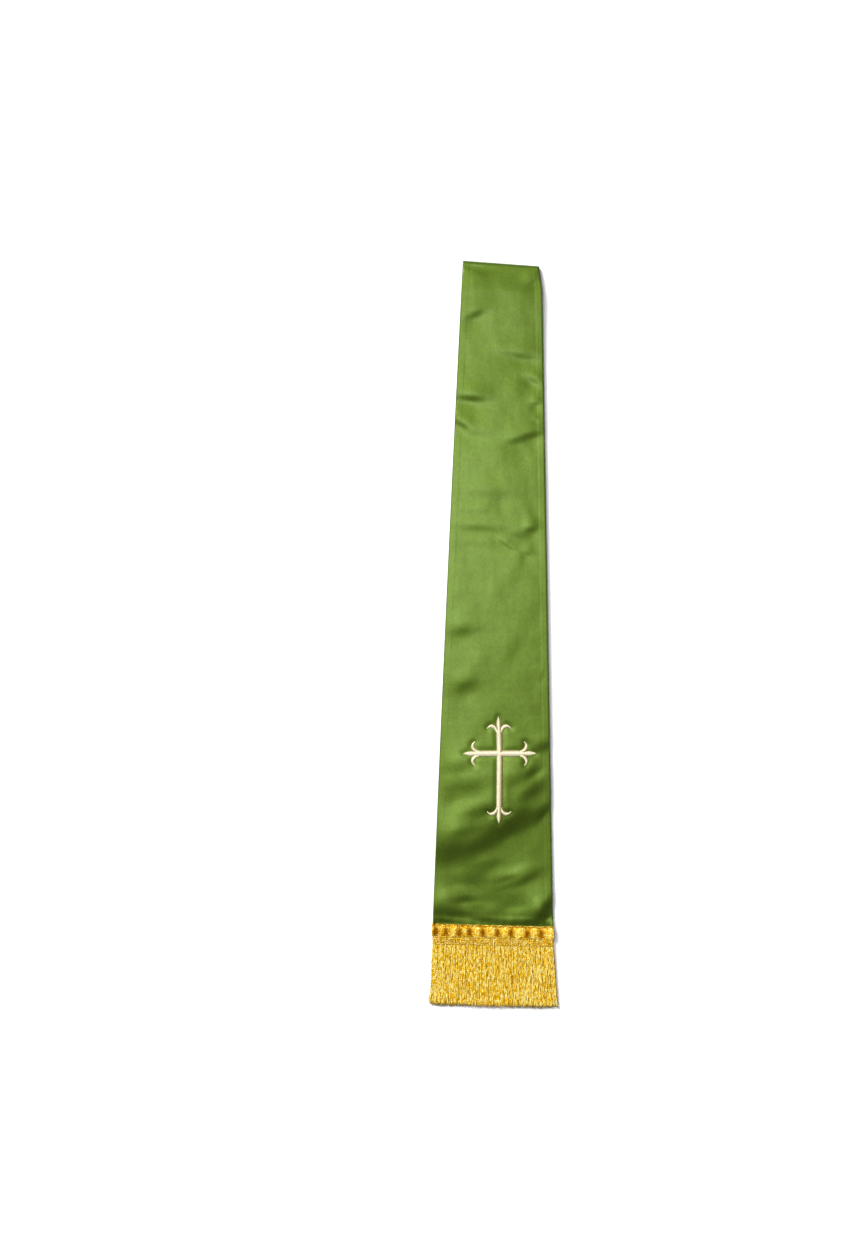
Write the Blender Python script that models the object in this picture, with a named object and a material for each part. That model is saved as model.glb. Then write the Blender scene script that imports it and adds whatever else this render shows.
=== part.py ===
# A reversible clerical stole, folded in half at its neck seam and laid flat on a table.
#
# The front half shows: its green face lies over its purple reverse. Under it lies the back half, whose
# two faces share one solid with layered edges. Both halves curl round to meet at the neck seam, at +Y.
# Each end, at -Y, has a padded gold header over the hem, and below the hem a woven heading with its
# fringe. Metres, +Z up, the centre of the footprint at the origin. "Down" is the distance from the neck
# fold, and "across" from the middle line to the right.

import math
import random

import bmesh
import bpy

MM = 0.001

# Outline of the folded stole
CLOTH_LENGTH = 781 * MM
NECK_WIDTH = 91.2 * MM
HEM_WIDTH = 140.0 * MM
NECK_SLANT = math.radians(3.4)
HEM_SLANT = math.radians(0.6)
LEFT_BOW = 1.2 * MM
CORNER_EASE = 4.0 * MM
CORNER_LENGTH = 40 * MM

# Cloth: each face is a wall, and the two faces of a half are sewn together round their edges
WALL = 1.0 * MM
GAP = 0.3 * MM
HALF_THICKNESS = 2 * WALL + GAP
EDGE_ROUND = 1.2 * MM
EDGE_DROP = 0.55 * MM
SEAM_ALLOWANCE = 7.4 * MM
SEAM_STEP = 0.25 * MM
SEAM_STEP_WIDTH = 1.8 * MM
BACK_GROOVE = 2.0 * MM
BACK_INNER_ROWS = 10
BACK_FIRST_ROWS = (8 * MM, 14 * MM, 40 * MM, 60 * MM)

# Neck fold: a soft roll, open inside, that settles onto the back half
FOLD_INNER = 2.2 * MM
FOLD_OUTER = FOLD_INNER + HALF_THICKNESS
FOLD_SETTLE = 110 * MM
FOLD_STEPS = 4
NECK_SEAM = 0.3 * MM

# Trimming: the header covers the end of the cloth, and the heading and its strands hang past it
HEADER_DEPTH = 13.8 * MM
HEADER_OVERLAP = 0.9 * MM
HEADER_SEWN = HEADER_DEPTH - HEADER_OVERLAP
HEADER_TIES = (0.037, 0.118, 0.229, 0.314, 0.421, 0.539, 0.653, 0.786, 0.900)
PAD_ENDS = (-0.04, *HEADER_TIES, 1.01)
PAD_STEPS = (0.12, 0.3, 0.7, 0.88, 1.0)
PAD_FULLNESS = 2.4
PAD_EDGE_FULLNESS = 0.55
PAD_RIM = 0.03
HEADER_TIE = 0.7 * MM
HEADER_CROWN = 2.4 * MM
HEADER_ROWS = 5
HEADER_PROUD = 1.0 * MM
HEADER_BACK = 1.5 * MM
HEM_RISE = HEADER_BACK + GAP
HEM_RISE_LENGTH = 12 * MM
HEADING_DEPTH = 10.2 * MM
HEADING_THICKNESS = 2.6 * MM
STRAND_LENGTH = 71.5 * MM
STRAND_WIDTH = 1.45 * MM
STRAND_THICKNESS = 1.0 * MM
TIER_MARGIN = 0.2 * MM
TIER_GAP = 0.3 * MM
STRAND_WAVE = 0.22 * MM
STRAND_WAVES = (1.0, 1.8)
STRAND_TAPER = 0.75
STRAND_STEPS = (0.3, 0.65, 1.0)
STRAND_UNEVEN = 1.5 * MM
END_BOW = 1.5 * MM
FLARE_LEFT = 1.6 * MM
FLARE_RIGHT = 7.0 * MM
FRONT_STRANDS = 116
BACK_STRANDS = 60
FRONT_DROOP = 0.9 * MM
BACK_DROOP = 0.6 * MM
BACK_FRINGE_LEVEL = 1.0 * MM
FRONT_SEED, BACK_SEED = 11, 23

# Embroidered cross: a Latin cross whose arms end in a bud between two curls
CROSS_ACROSS = 5.0 * MM
CROSS_DOWN = 568.5 * MM
CROSS_TURN = math.radians(0.8)
ARM_UP = 42.7 * MM
ARM_SIDE = 42.2 * MM
ARM_DOWN = 80.8 * MM
UPPER_BEND = -1.4 * MM
LOWER_BEND = -0.9 * MM
BAR_HALF_WIDTH = 3.6 * MM
BAR_STEP = 8 * MM
CURL_STEPS = 8
STITCH_CROWN = 1.6 * MM
SIDE_BAR_LOWER = 0.1 * MM
CURL_LOWER = 0.3 * MM
STITCH_GAP = 0.45 * MM

# Air under the green face: less at the sides, most below the cross, and gone at the neck and the header
PUFF = 2.4 * MM
LOW_PUFF = 4.0 * MM
LOW_PUFF_RANGE = (540 * MM, 620 * MM)
END_PUFF = 1.4 * MM
END_PUFF_RANGE = (690 * MM, 760 * MM)
SIDE_PUFF = 1.8 * MM
PUFF_WIDTH = 40 * MM
PUFF_EASE = 0.7 * MM
HEM_PUFF = 0.2 * MM
PUFF_FADE = (4 * MM, 35 * MM)
FOLD_FADE = (3.5 * MM, 9 * MM)
HEM_FADE = (759 * MM, 769 * MM)

# The folds of the green face. A fold is a slope that crosses the cloth: a crest along its upper side and
# a trough along its lower one, or the other way round where the slope is negative. Millimetres, and the
# turn is in degrees from level, anticlockwise.
FOLDS = [
    dict(across=-30, down=8, half_length=18, half_width=8, turn=-3, slope=-0.30),
    dict(across=36, down=20, half_length=10, half_width=8, turn=25, slope=0.28),
    dict(across=-31, down=60, half_length=14, half_width=10, turn=22, slope=0.32),
    dict(across=24, down=107, half_length=26, half_width=10, turn=-8, slope=0.28),
    dict(across=37, down=135, half_length=11, half_width=8, turn=-30, slope=0.32),
    dict(across=-35, down=157, half_length=20, half_width=10, turn=-4, slope=0.42),
    dict(across=41, down=162, half_length=6, half_width=6, turn=0, slope=0.28),
    dict(across=-46, down=187, half_length=12, half_width=9, turn=-30, slope=0.36),
    dict(across=-26, down=198, half_length=20, half_width=10, turn=0, slope=0.13),
    dict(across=38, down=198, half_length=14, half_width=9, turn=12, slope=0.32),
    dict(across=18, down=206, half_length=16, half_width=10, turn=12, slope=0.24),
    dict(across=5, down=268, half_length=40, half_width=15, turn=0, slope=0.09),
    dict(across=-22, down=289, half_length=24, half_width=9, turn=0, slope=0.12),
    dict(across=-20, down=308, half_length=28, half_width=12, turn=-3, slope=0.19),
    dict(across=-24, down=326, half_length=22, half_width=12, turn=0, slope=0.09),
    dict(across=38, down=308, half_length=8, half_width=8, turn=10, slope=0.32),
    dict(across=28, down=316, half_length=18, half_width=10, turn=-5, slope=0.17),
    dict(across=8, down=326, half_length=10, half_width=5, turn=-40, slope=0.24),
    dict(across=34, down=336, half_length=7, half_width=6, turn=-15, slope=0.20),
    dict(across=-41, down=428, half_length=16, half_width=14, turn=10, slope=0.16),
    dict(across=-37, down=492, half_length=18, half_width=16, turn=15, slope=0.20),
    dict(across=56, down=560, half_length=11, half_width=12, turn=25, slope=0.22),
    dict(across=-38, down=584, half_length=20, half_width=14, turn=12, slope=0.15),
    dict(across=43, down=590, half_length=10, half_width=7, turn=35, slope=0.20),
    dict(across=24, down=600, half_length=18, half_width=20, turn=20, slope=0.16),
    dict(across=-30, down=610, half_length=30, half_width=26, turn=5, slope=0.08),
    dict(across=42, down=613, half_length=16, half_width=13, turn=30, slope=0.24),
    dict(across=57, down=638, half_length=13, half_width=12, turn=55, slope=0.34),
    dict(across=14, down=655, half_length=44, half_width=31, turn=30, slope=0.38),
    dict(across=-14, down=635, half_length=28, half_width=17, turn=22, slope=0.24),
    dict(across=-14, down=676, half_length=24, half_width=16, turn=20, slope=0.12),
    dict(across=-50, down=685, half_length=26, half_width=33, turn=18, slope=0.30),
    dict(across=-2, down=697, half_length=22, half_width=14, turn=20, slope=0.15),
    dict(across=16, down=713, half_length=14, half_width=8, turn=15, slope=0.16),
    dict(across=-36, down=717, half_length=24, half_width=20, turn=8, slope=0.17),
    dict(across=30, down=702, half_length=18, half_width=10, turn=32, slope=-0.10),
    dict(across=46, down=710, half_length=14, half_width=9, turn=35, slope=0.16),
    dict(across=-33, down=737, half_length=13, half_width=8, turn=0, slope=0.20),
    dict(across=-9, down=746, half_length=12, half_width=9, turn=0, slope=-0.14),
    dict(across=27, down=750, half_length=16, half_width=10, turn=10, slope=-0.14),
    dict(across=61, down=752, half_length=22, half_width=14, turn=50, slope=0.72),
    dict(across=-43, down=758, half_length=33, half_width=20, turn=-6, slope=0.46),
    dict(across=-10, down=763, half_length=16, half_width=7, turn=0, slope=0.24),
]

# How finely the green face is divided down its length, as (down to, step), and across between the seams
ROW_ZONES = [(35, 8), (215, 8), (295, 16), (345, 8), (470, 16), (640, 10), (745, 8), (781, 6)]
INNER_COLUMNS = 12
EDGE_COLUMNS = (0.0, EDGE_ROUND, SEAM_ALLOWANCE, SEAM_ALLOWANCE + SEAM_STEP_WIDTH)
MERGE_DISTANCE = 0.001 * MM

# Where each sub-part's footprint sits, worked out from the sizes above
TOTAL_LENGTH = CLOTH_LENGTH + HEADING_DEPTH + STRAND_LENGTH
NECK_RISE = NECK_WIDTH / 2 * math.tan(NECK_SLANT)
NECK_Y = (TOTAL_LENGTH - NECK_RISE) / 2
MIDDLE_X = -(FLARE_RIGHT - FLARE_LEFT) / 2
REST_LEVEL = HALF_THICKNESS + GAP
FOLD_LEVEL = FOLD_OUTER + FOLD_INNER

# Materials, as colour, share of metal and roughness
MATERIALS = {
    "green": dict(colour=(0.178, 0.296, 0.068), metal=0.0, roughness=0.42),
    "purple": dict(colour=(0.105, 0.062, 0.50), metal=0.0, roughness=0.42),
    "gold": dict(colour=(0.72, 0.46, 0.08), metal=0.6, roughness=0.35),
    "cream gold": dict(colour=(0.82, 0.70, 0.42), metal=0.3, roughness=0.4),
}
SHARP_ANGLE = math.radians(40)


def smooth(t):
    """0 up to t = 0, 1 from t = 1, and an even S between."""
    t = min(max(t, 0.0), 1.0)
    return t * t * (3 - 2 * t)


def mix(a, b, t):
    return a + (b - a) * t


def passed(place, zone):
    """0 before a zone, 1 after it, and an even S across it."""
    return smooth((place - zone[0]) / (zone[1] - zone[0]))


# Outline


def sides(down):
    """The left and right edges of the cloth, as distances across from the middle line."""
    share = down / CLOTH_LENGTH
    half = mix(NECK_WIDTH, HEM_WIDTH, share) / 2
    bow = LEFT_BOW * 4 * share * (1 - share)
    ease = CORNER_EASE * max(0.0, 1 - down / CORNER_LENGTH) ** 2
    return -half - bow, half - ease


def y_at(across, down):
    """The place along the stole of a point that far down. Rows swing from the neck's slant to the hem's."""
    slant = mix(math.tan(NECK_SLANT), math.tan(HEM_SLANT), down / CLOTH_LENGTH)
    return NECK_Y - down - across * slant


def down_at(across, y):
    """The inverse of y_at."""
    neck, hem = math.tan(NECK_SLANT), math.tan(HEM_SLANT)
    return (NECK_Y - y - across * neck) / (1 + across * (hem - neck) / CLOTH_LENGTH)


def column_places(down, insets, inner):
    """Distances across, from the left edge to the right: insets at each edge, and inner steps between."""
    left, right = sides(down)
    first, last = left + insets[-1], right - insets[-1]
    between = [mix(first, last, i / inner) for i in range(1, inner)]
    return [left + i for i in insets] + between + [right - i for i in reversed(insets)]


def row_places():
    """Distances down from where the neck fold ends to the hem."""
    rows = [FOLD_OUTER]
    for end, step in ROW_ZONES:
        start = rows[-1]
        count = max(1, round((end * MM - start) / (step * MM)))
        rows += [mix(start, end * MM, i / count) for i in range(1, count + 1)]
    return rows


# Heights


def relief(across, below_neck):
    """All the folds at one place, which is measured square to the middle line."""
    height = 0.0
    for fold in FOLDS:
        turn = math.radians(fold["turn"])
        dx, dy = across - fold["across"] * MM, fold["down"] * MM - below_neck
        along = (dx * math.cos(turn) + dy * math.sin(turn)) / (fold["half_length"] * MM)
        below = (dx * math.sin(turn) - dy * math.cos(turn)) / (fold["half_width"] * MM)
        step = fold["slope"] * fold["half_width"] * MM
        height -= step * below / (1 + below * below) ** 1.5 * math.exp(-along * along)
    return height


def lift(across, down):
    """The air under the green face: a soft puff with the folds in it, never below nothing."""
    ending = passed(down, END_PUFF_RANGE)
    middle_puff = mix(mix(PUFF, LOW_PUFF, passed(down, LOW_PUFF_RANGE)), END_PUFF, ending)
    side_puff = mix(SIDE_PUFF, END_PUFF, ending)
    puff = mix(side_puff, middle_puff, smooth(inset_of(across, down) / PUFF_WIDTH))
    folds = relief(across, NECK_Y - y_at(across, down))
    height = puff * passed(down, PUFF_FADE) + folds * passed(down, FOLD_FADE)
    ease = PUFF_EASE * smooth(down / PUFF_FADE[1])
    height = (height + math.hypot(height, ease)) / 2
    return mix(height, HEM_PUFF, passed(down, HEM_FADE))


def hem_rise(down):
    """How far the back header lifts both halves at their hems."""
    start = CLOTH_LENGTH - HEADER_SEWN - HEM_RISE_LENGTH
    return HEM_RISE * smooth((down - start) / (HEM_RISE_LENGTH - 2 * GAP))


def front_level(down):
    """The height at which the front half would lie with no air in it."""
    settled = smooth((down - FOLD_OUTER) / FOLD_SETTLE)
    return mix(FOLD_LEVEL, REST_LEVEL, settled) + hem_rise(down)


def seam_ridge(inset):
    """The turned-in seam allowance thickens the cloth along its sides."""
    return SEAM_STEP * (1 - smooth((inset - SEAM_ALLOWANCE) / SEAM_STEP_WIDTH))


def edge_drop(inset):
    """The outer corner of a wall rounds off towards the side seam."""
    return EDGE_DROP * max(0.0, 1 - inset / EDGE_ROUND) ** 2


def inset_of(across, down):
    left, right = sides(down)
    return max(0.0, min(across - left, right - across))


# Points of the two halves


def fold_point(across, step, depth, upper):
    """A point on the neck fold. Step runs from 0 at the neck seam to FOLD_STEPS where the cloth lies flat,
    and depth is measured out from the hollow inside the fold."""
    radius = FOLD_INNER + depth
    seam = math.asin(NECK_SEAM / 2 / radius)
    angle = mix(seam, math.pi / 2, step / FOLD_STEPS)
    y = y_at(across, FOLD_OUTER) + radius * math.cos(angle)
    z = FOLD_OUTER + radius * math.sin(angle) * (1 if upper else -1)
    return (across + MIDDLE_X, y, z)


def flat_point(across, down, z):
    return (across + MIDDLE_X, y_at(across, down), z)


def face_under(across, down):
    """The underside of the green face."""
    return front_level(down) + lift(across, down) + WALL + GAP


def face_over(across, down):
    """The top of the green face."""
    inset = inset_of(across, down)
    return face_under(across, down) + WALL + seam_ridge(inset) - edge_drop(inset)


class FaceTop:
    """The top of the green face as its facets have it, for what lies on it."""

    def __init__(self):
        self.rows = row_places()
        self.columns = [column_places(d, EDGE_COLUMNS, INNER_COLUMNS) for d in self.rows]
        self.heights = [[face_over(a, d) for a in row] for d, row in zip(self.rows, self.columns)]

    @staticmethod
    def find(places, wanted):
        """The step between two places that holds the wanted one, and the share of the way along it."""
        wanted = min(max(wanted, places[0]), places[-1])
        step = next(i for i in range(1, len(places)) if places[i] >= wanted)
        return step, (wanted - places[step - 1]) / (places[step] - places[step - 1])

    def along_row(self, row, across):
        step, share = self.find(self.columns[row], across)
        return mix(self.heights[row][step - 1], self.heights[row][step], share)

    def height(self, across, down):
        step, share = self.find(self.rows, down)
        return mix(self.along_row(step - 1, across), self.along_row(step, across), share)


# Solids


def material(name):
    made = bpy.data.materials.get(name)
    if made is None:
        made = bpy.data.materials.new(name)
        made.use_nodes = True
        shader = made.node_tree.nodes["Principled BSDF"]
        look = MATERIALS[name]
        shader.inputs["Base Color"].default_value = (*look["colour"], 1.0)
        shader.inputs["Metallic"].default_value = look["metal"]
        shader.inputs["Roughness"].default_value = look["roughness"]
    return made


def solid(name, points, faces, colour):
    """A closed mesh object, with its faces turned outwards and its gentle edges shaded smooth."""
    mesh = bpy.data.meshes.new(name)
    mesh.from_pydata(points, [], faces)
    work = bmesh.new()
    work.from_mesh(mesh)
    bmesh.ops.remove_doubles(work, verts=work.verts, dist=MERGE_DISTANCE)
    bmesh.ops.recalc_face_normals(work, faces=work.faces)
    work.to_mesh(mesh)
    work.free()
    mesh.shade_smooth()
    mesh.set_sharp_from_angle(angle=SHARP_ANGLE)
    mesh.materials.append(material(colour))
    made = bpy.data.objects.new(name, mesh)
    bpy.context.collection.objects.link(made)
    return made


def loft(name, rings, colour):
    """A closed solid through rings of equally many points, with its two ends filled. The first half of a
    ring runs along one side and the second half back along the other. Both sides are split the same way."""
    size = len(rings[0])
    points = [p for ring in rings for p in ring]
    faces = [list(range(size)), list(range(len(points) - size, len(points)))]
    for r in range(len(rings) - 1):
        low, high = r * size, (r + 1) * size
        for i in range(size):
            j = (i + 1) % size
            if i < size // 2:
                faces += [[low + i, low + j, high + j], [low + i, high + j, high + i]]
            else:
                faces += [[low + i, low + j, high + i], [low + j, high + j, high + i]]
    return solid(name, points, faces, colour)


def front_face():
    """The green face of the front half: a wall that follows the folds, down from the neck seam."""
    rings = []
    for step in range(FOLD_STEPS):
        places = column_places(FOLD_OUTER, EDGE_COLUMNS, INNER_COLUMNS)
        under = [fold_point(a, step, WALL + GAP, True) for a in places]
        over = []
        for a in places:
            inset = inset_of(a, FOLD_OUTER)
            depth = HALF_THICKNESS + seam_ridge(inset) - edge_drop(inset)
            over.append(fold_point(a, step, depth, True))
        rings.append(under + over[::-1])
    for down in row_places():
        places = column_places(down, EDGE_COLUMNS, INNER_COLUMNS)
        under = [flat_point(a, down, face_under(a, down)) for a in places]
        over = [flat_point(a, down, face_over(a, down)) for a in places]
        rings.append(under + over[::-1])
    return loft("front_face", rings, "green")


def front_reverse():
    """The purple face of the front half. It follows the green one at the seams and is flat between."""
    rings = []
    for step in range(FOLD_STEPS):
        places = column_places(FOLD_OUTER, EDGE_COLUMNS, 1)
        under = [fold_point(a, step, edge_drop(inset_of(a, FOLD_OUTER)), True) for a in places]
        over = [fold_point(a, step, WALL, True) for a in places]
        rings.append(under + over[::-1])
    for down in row_places():
        under, over = [], []
        for a in column_places(down, EDGE_COLUMNS, 1):
            inset = inset_of(a, down)
            at_seam = inset < SEAM_ALLOWANCE + SEAM_STEP_WIDTH / 2
            level = front_level(down) + (lift(a, down) if at_seam else 0.0)
            under.append(flat_point(a, down, level + edge_drop(inset)))
            over.append(flat_point(a, down, level + WALL))
        rings.append(under + over[::-1])
    return loft("front_reverse", rings, "purple")


def back_section(place, down):
    """A section of the back half, from its outer face in: a groove down each side parts its two faces."""
    profile = [
        (EDGE_DROP, 0.0),
        (0.0, EDGE_DROP),
        (0.0, WALL),
        (BACK_GROOVE, WALL),
        (BACK_GROOVE, WALL + GAP),
        (0.0, WALL + GAP),
        (0.0, HALF_THICKNESS - EDGE_DROP),
        (EDGE_DROP, HALF_THICKNESS),
    ]
    left, right = sides(down)
    rising = [place(left + inset, height) for inset, height in profile]
    falling = [place(right - inset, height) for inset, height in reversed(profile)]
    return rising + falling


def back_half():
    """The hidden half. Its outer face lies flat on the table, and its end curls up into the neck fold."""
    rings = []
    for step in range(FOLD_STEPS):
        def place(across, height, step=step):
            return fold_point(across, step, HALF_THICKNESS - height, False)
        rings.append(back_section(place, FOLD_OUTER))
    hem_start = CLOTH_LENGTH - HEADER_SEWN - HEM_RISE_LENGTH
    table_rows = [FOLD_OUTER, *BACK_FIRST_ROWS]
    for i in range(1, BACK_INNER_ROWS + 1):
        table_rows.append(mix(BACK_FIRST_ROWS[-1], hem_start, i / BACK_INNER_ROWS))
    table_rows += [hem_start + HEM_RISE_LENGTH * t for t in (0.25, 0.5, 0.75, 1.0)]
    for down in table_rows + [CLOTH_LENGTH]:
        def place(across, height, down=down):
            return flat_point(across, down, hem_rise(down) + height)
        rings.append(back_section(place, down))
    return loft("back_half", rings, "green")


def header_places():
    """Shares along the header: its ends, its ties, and steps over each pad between them."""
    places = [0.0]
    for start, end in zip(PAD_ENDS, PAD_ENDS[1:]):
        places += [mix(start, end, t) for t in PAD_STEPS]
    return [p for p in places if 0.0 <= p < 0.999] + [1.0]


def pad_height(along, band):
    """The thickness of the header, a row of pads with ties between, at shares of its length and depth."""
    start, end = next(pair for pair in zip(PAD_ENDS, PAD_ENDS[1:]) if along <= pair[1])
    share = (along - start) / (end - start)
    lengthways = 1 - abs(2 * share - 1) ** PAD_FULLNESS
    depthways = math.sin(math.pi * mix(PAD_RIM, 1 - PAD_RIM, band)) ** PAD_EDGE_FULLNESS
    return mix(HEADER_TIE, HEADER_CROWN, max(lengthways * depthways, 0.0))


def header_front(top):
    """The padded gold header, sewn over the end of the green face."""
    rings = []
    for share in header_places():
        under, over = [], []
        for r in range(HEADER_ROWS + 1):
            band = r / HEADER_ROWS
            down = CLOTH_LENGTH - HEADER_SEWN + HEADER_DEPTH * band
            left, right = sides(min(down, CLOTH_LENGTH))
            across = mix(left - HEADER_PROUD, right + HEADER_PROUD, share)
            z = top.height(across, down) + GAP
            thick = pad_height(share, band)
            under.append(flat_point(across, down, z))
            over.append(flat_point(across, down, z + thick))
        rings.append(under + over[::-1])
    return loft("header_front", rings, "gold")


def header_back():
    """The header on the back half's outer face. It is pressed flat on the table."""
    section = [(0.0, 0.0), (0.0, 0.8), (0.12, 1.0), (1.0, 1.0), (1.0, 0.0)]
    rings = []
    for share in (0.0, 0.25, 0.5, 0.75, 1.0):
        ring = []
        for band, height in section:
            down = CLOTH_LENGTH - HEADER_SEWN * (1 - band)
            left, right = sides(down)
            across = mix(left - HEADER_PROUD, right + HEADER_PROUD, share)
            ring.append(flat_point(across, down, height * HEADER_BACK))
        rings.append(ring)
    return loft("header_back", rings, "gold")


def comb_end(low, high, tiers):
    """The face of the heading that the strands grow from, in bands from its low edge to its high one. Each
    tier is its roots, as (from, to) shares along the heading, and its two levels. It returns the faces, as
    corners of (share, level), and the corners of each root."""
    faces, roots = [], []
    below = [(0.0, low), (1.0, low)]
    for teeth, bottom, top in tiers:
        edges = [0.0] + [edge for tooth in teeth for edge in tooth] + [1.0]
        faces.append(below + [(edge, bottom) for edge in reversed(edges)])
        for left, right in zip(edges[::2], edges[1::2]):
            faces.append([(left, bottom), (right, bottom), (right, top), (left, top)])
        for left, right in teeth:
            roots.append([(left, bottom), (right, bottom), (right, top), (left, top)])
        below = [(edge, top) for edge in edges]
    faces.append(below + [(1.0, high), (0.0, high)])
    return faces, roots


def fringe(name, strands, bottom, droop, seed):
    """A woven heading past the hem, with its strands in two tiers. They grow from its lower edge, flare
    out to the right and droop, and each waves a little in its own way."""
    rng = random.Random(seed)
    left, right = sides(CLOTH_LENGTH)
    width = right - left
    margin, tooth = TIER_MARGIN / width, STRAND_WIDTH / width
    per_tier = strands // 2
    pitch = (1 - 2 * margin - tooth) / (per_tier - 0.5)
    low_tier = [(margin + pitch * i, margin + pitch * i + tooth) for i in range(per_tier)]
    high_tier = [(start + pitch / 2, stop + pitch / 2) for start, stop in low_tier]
    low_band = (bottom + TIER_MARGIN, bottom + TIER_MARGIN + STRAND_THICKNESS)
    high_band = (low_band[1] + TIER_GAP, low_band[1] + TIER_GAP + STRAND_THICKNESS)
    top = bottom + HEADING_THICKNESS
    hem, end = CLOTH_LENGTH + GAP, CLOTH_LENGTH + HEADING_DEPTH

    def spot(share, z, down):
        past = max(0.0, (down - end) / STRAND_LENGTH)
        shift = mix(-FLARE_LEFT, FLARE_RIGHT, share) * past
        across = mix(left, right, share)
        return (across + shift + MIDDLE_X, y_at(across, CLOTH_LENGTH) - (down - CLOTH_LENGTH), z)

    end_faces, roots = comb_end(bottom, top, [(low_tier, *low_band), (high_tier, *high_band)])
    points, faces = [], []

    def add(corners):
        faces.append(list(range(len(points), len(points) + len(corners))))
        points.extend(corners)

    for face in end_faces:
        add([spot(share, z, end) for share, z in face])
    levels = [bottom, *low_band, *high_band, top]
    for share in (0.0, 1.0):
        lower_edge = [spot(share, z, end) for z in reversed(levels)]
        add([spot(share, bottom, hem), spot(share, top, hem), *lower_edge])
    add([spot(0.0, bottom, hem), spot(1.0, bottom, hem), spot(1.0, top, hem), spot(0.0, top, hem)])
    for z in (bottom, top):
        add([spot(0.0, z, hem), spot(0.0, z, end), spot(1.0, z, end), spot(1.0, z, hem)])

    for root in roots:
        phase = rng.uniform(0, 2 * math.pi)
        waves = rng.uniform(*STRAND_WAVES)
        reach = STRAND_LENGTH - rng.uniform(0, STRAND_UNEVEN)
        middle = sum(share for share, _ in root) / 4
        reach -= (2 * middle - 1) ** 2 * END_BOW
        ring = [spot(share, z, end) for share, z in root]
        for t in STRAND_STEPS:
            sway = STRAND_WAVE * math.sin(phase + waves * 2 * math.pi * t) / width
            drop = droop * smooth(t)
            narrow = mix(1.0, STRAND_TAPER, t)
            after = []
            for share, z in root:
                share = middle + (share - middle) * narrow + sway
                after.append(spot(share, z - drop, end + reach * t))
            for i in range(4):
                j = (i + 1) % 4
                add([ring[i], ring[j], after[j], after[i]])
            ring = after
        add(ring)
    return solid(name, points, faces, "gold")


# Cross

# The bud at an arm's end, as (millimetres from the tip, share of the bar's half width)
BUD = [(0, 0.07), (2.5, 0.4), (5, 0.68), (8, 0.82), (11, 0.74), (14, 0.62), (17, 0.8), (21, 1.0)]

# A curl's control points, as millimetres out from the bar's middle line and back from the arm's tip
CURL = [(2.0, 18.5), (3.3, 11.5), (9.2, 7.9), (13.9, 13.8)]
CURL_HALF_WIDTH = 2.1 * MM


# How a curl narrows: from its root, and from a place along it to its tip
CURL_ROOT = 0.8
CURL_TIP = 0.3
CURL_TIP_START = 0.55

# The section of a line of satin stitch, as shares of its half width and of its height
STITCH_SECTION = [(-1, 0), (-0.7, 0.75), (0, 1), (0.7, 0.75), (1, 0)]
THINNEST_STITCH = 0.5 * MM
STITCH_FULLNESS = 0.4


def stroke(name, spine, half_widths, crown):
    """One line of satin stitch, flat underneath and domed across, along a spine in the plane."""
    rings = []
    for i, (x, y) in enumerate(spine):
        ahead, behind = spine[min(i + 1, len(spine) - 1)], spine[max(i - 1, 0)]
        run = math.hypot(ahead[0] - behind[0], ahead[1] - behind[1])
        nx, ny = -(ahead[1] - behind[1]) / run, (ahead[0] - behind[0]) / run
        half = half_widths[i]
        height = min(crown, THINNEST_STITCH + STITCH_FULLNESS * half)
        rings.append([(x + nx * half * s, y + ny * half * s, height * h) for s, h in STITCH_SECTION])
    return loft(name, rings, "cream gold")


def arm_half_width(from_tip):
    """How wide the bar is near an arm's tip: a pointed bud, a waist between the curls, then the bar."""
    for (near, narrow), (far, wide) in zip(BUD, BUD[1:]):
        if from_tip <= far * MM:
            return mix(narrow, wide, (from_tip / MM - near) / (far - near)) * BAR_HALF_WIDTH
    return BAR_HALF_WIDTH


def bend_at(place):
    """How far the upright bar strays sideways on its way to its tips."""
    arm, bend = (ARM_UP, UPPER_BEND) if place > 0 else (ARM_DOWN, LOWER_BEND)
    return bend * (place / arm) ** 2


def bar(name, near_arm, far_arm, upright, crown):
    """A bar of the cross between the tips of two opposite arms."""
    length = near_arm + far_arm
    ends = [distance * MM for distance, _ in BUD]
    count = round((length - 2 * ends[-1]) / BAR_STEP)
    between = [mix(ends[-1], length - ends[-1], i / count) for i in range(1, count)]
    places = ends + between + [length - end for end in reversed(ends)]
    widths = [arm_half_width(min(p, length - p)) for p in places]
    if upright:
        spine = [(bend_at(p - near_arm), p - near_arm) for p in places]
    else:
        spine = [(p - near_arm, 0.0) for p in places]
    return stroke(name, spine, widths, crown)


def curl(name, arm, heading, side, crown):
    """A curl beside an arm's bud: it leaves the bar, swings out and comes back to a blunt point."""
    spine, widths = [], []
    for i in range(CURL_STEPS + 1):
        t = i / CURL_STEPS
        blend = [(1 - t) ** 3, 3 * t * (1 - t) ** 2, 3 * t * t * (1 - t), t**3]
        out = sum(b * h[0] for b, h in zip(blend, CURL)) * MM * side
        ahead = arm - sum(b * h[1] for b, h in zip(blend, CURL)) * MM
        x = ahead * math.cos(heading) - out * math.sin(heading)
        y = ahead * math.sin(heading) + out * math.cos(heading)
        spine.append((x + bend_at(y) * abs(math.sin(heading)), y))
        taper = mix(1.0, CURL_TIP, passed(t, (CURL_TIP_START, 1.0)))
        widths.append(CURL_HALF_WIDTH * mix(CURL_ROOT, 1.0, passed(t, (0.0, 0.5))) * taper)
    return stroke(name, spine, widths, crown)


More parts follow.
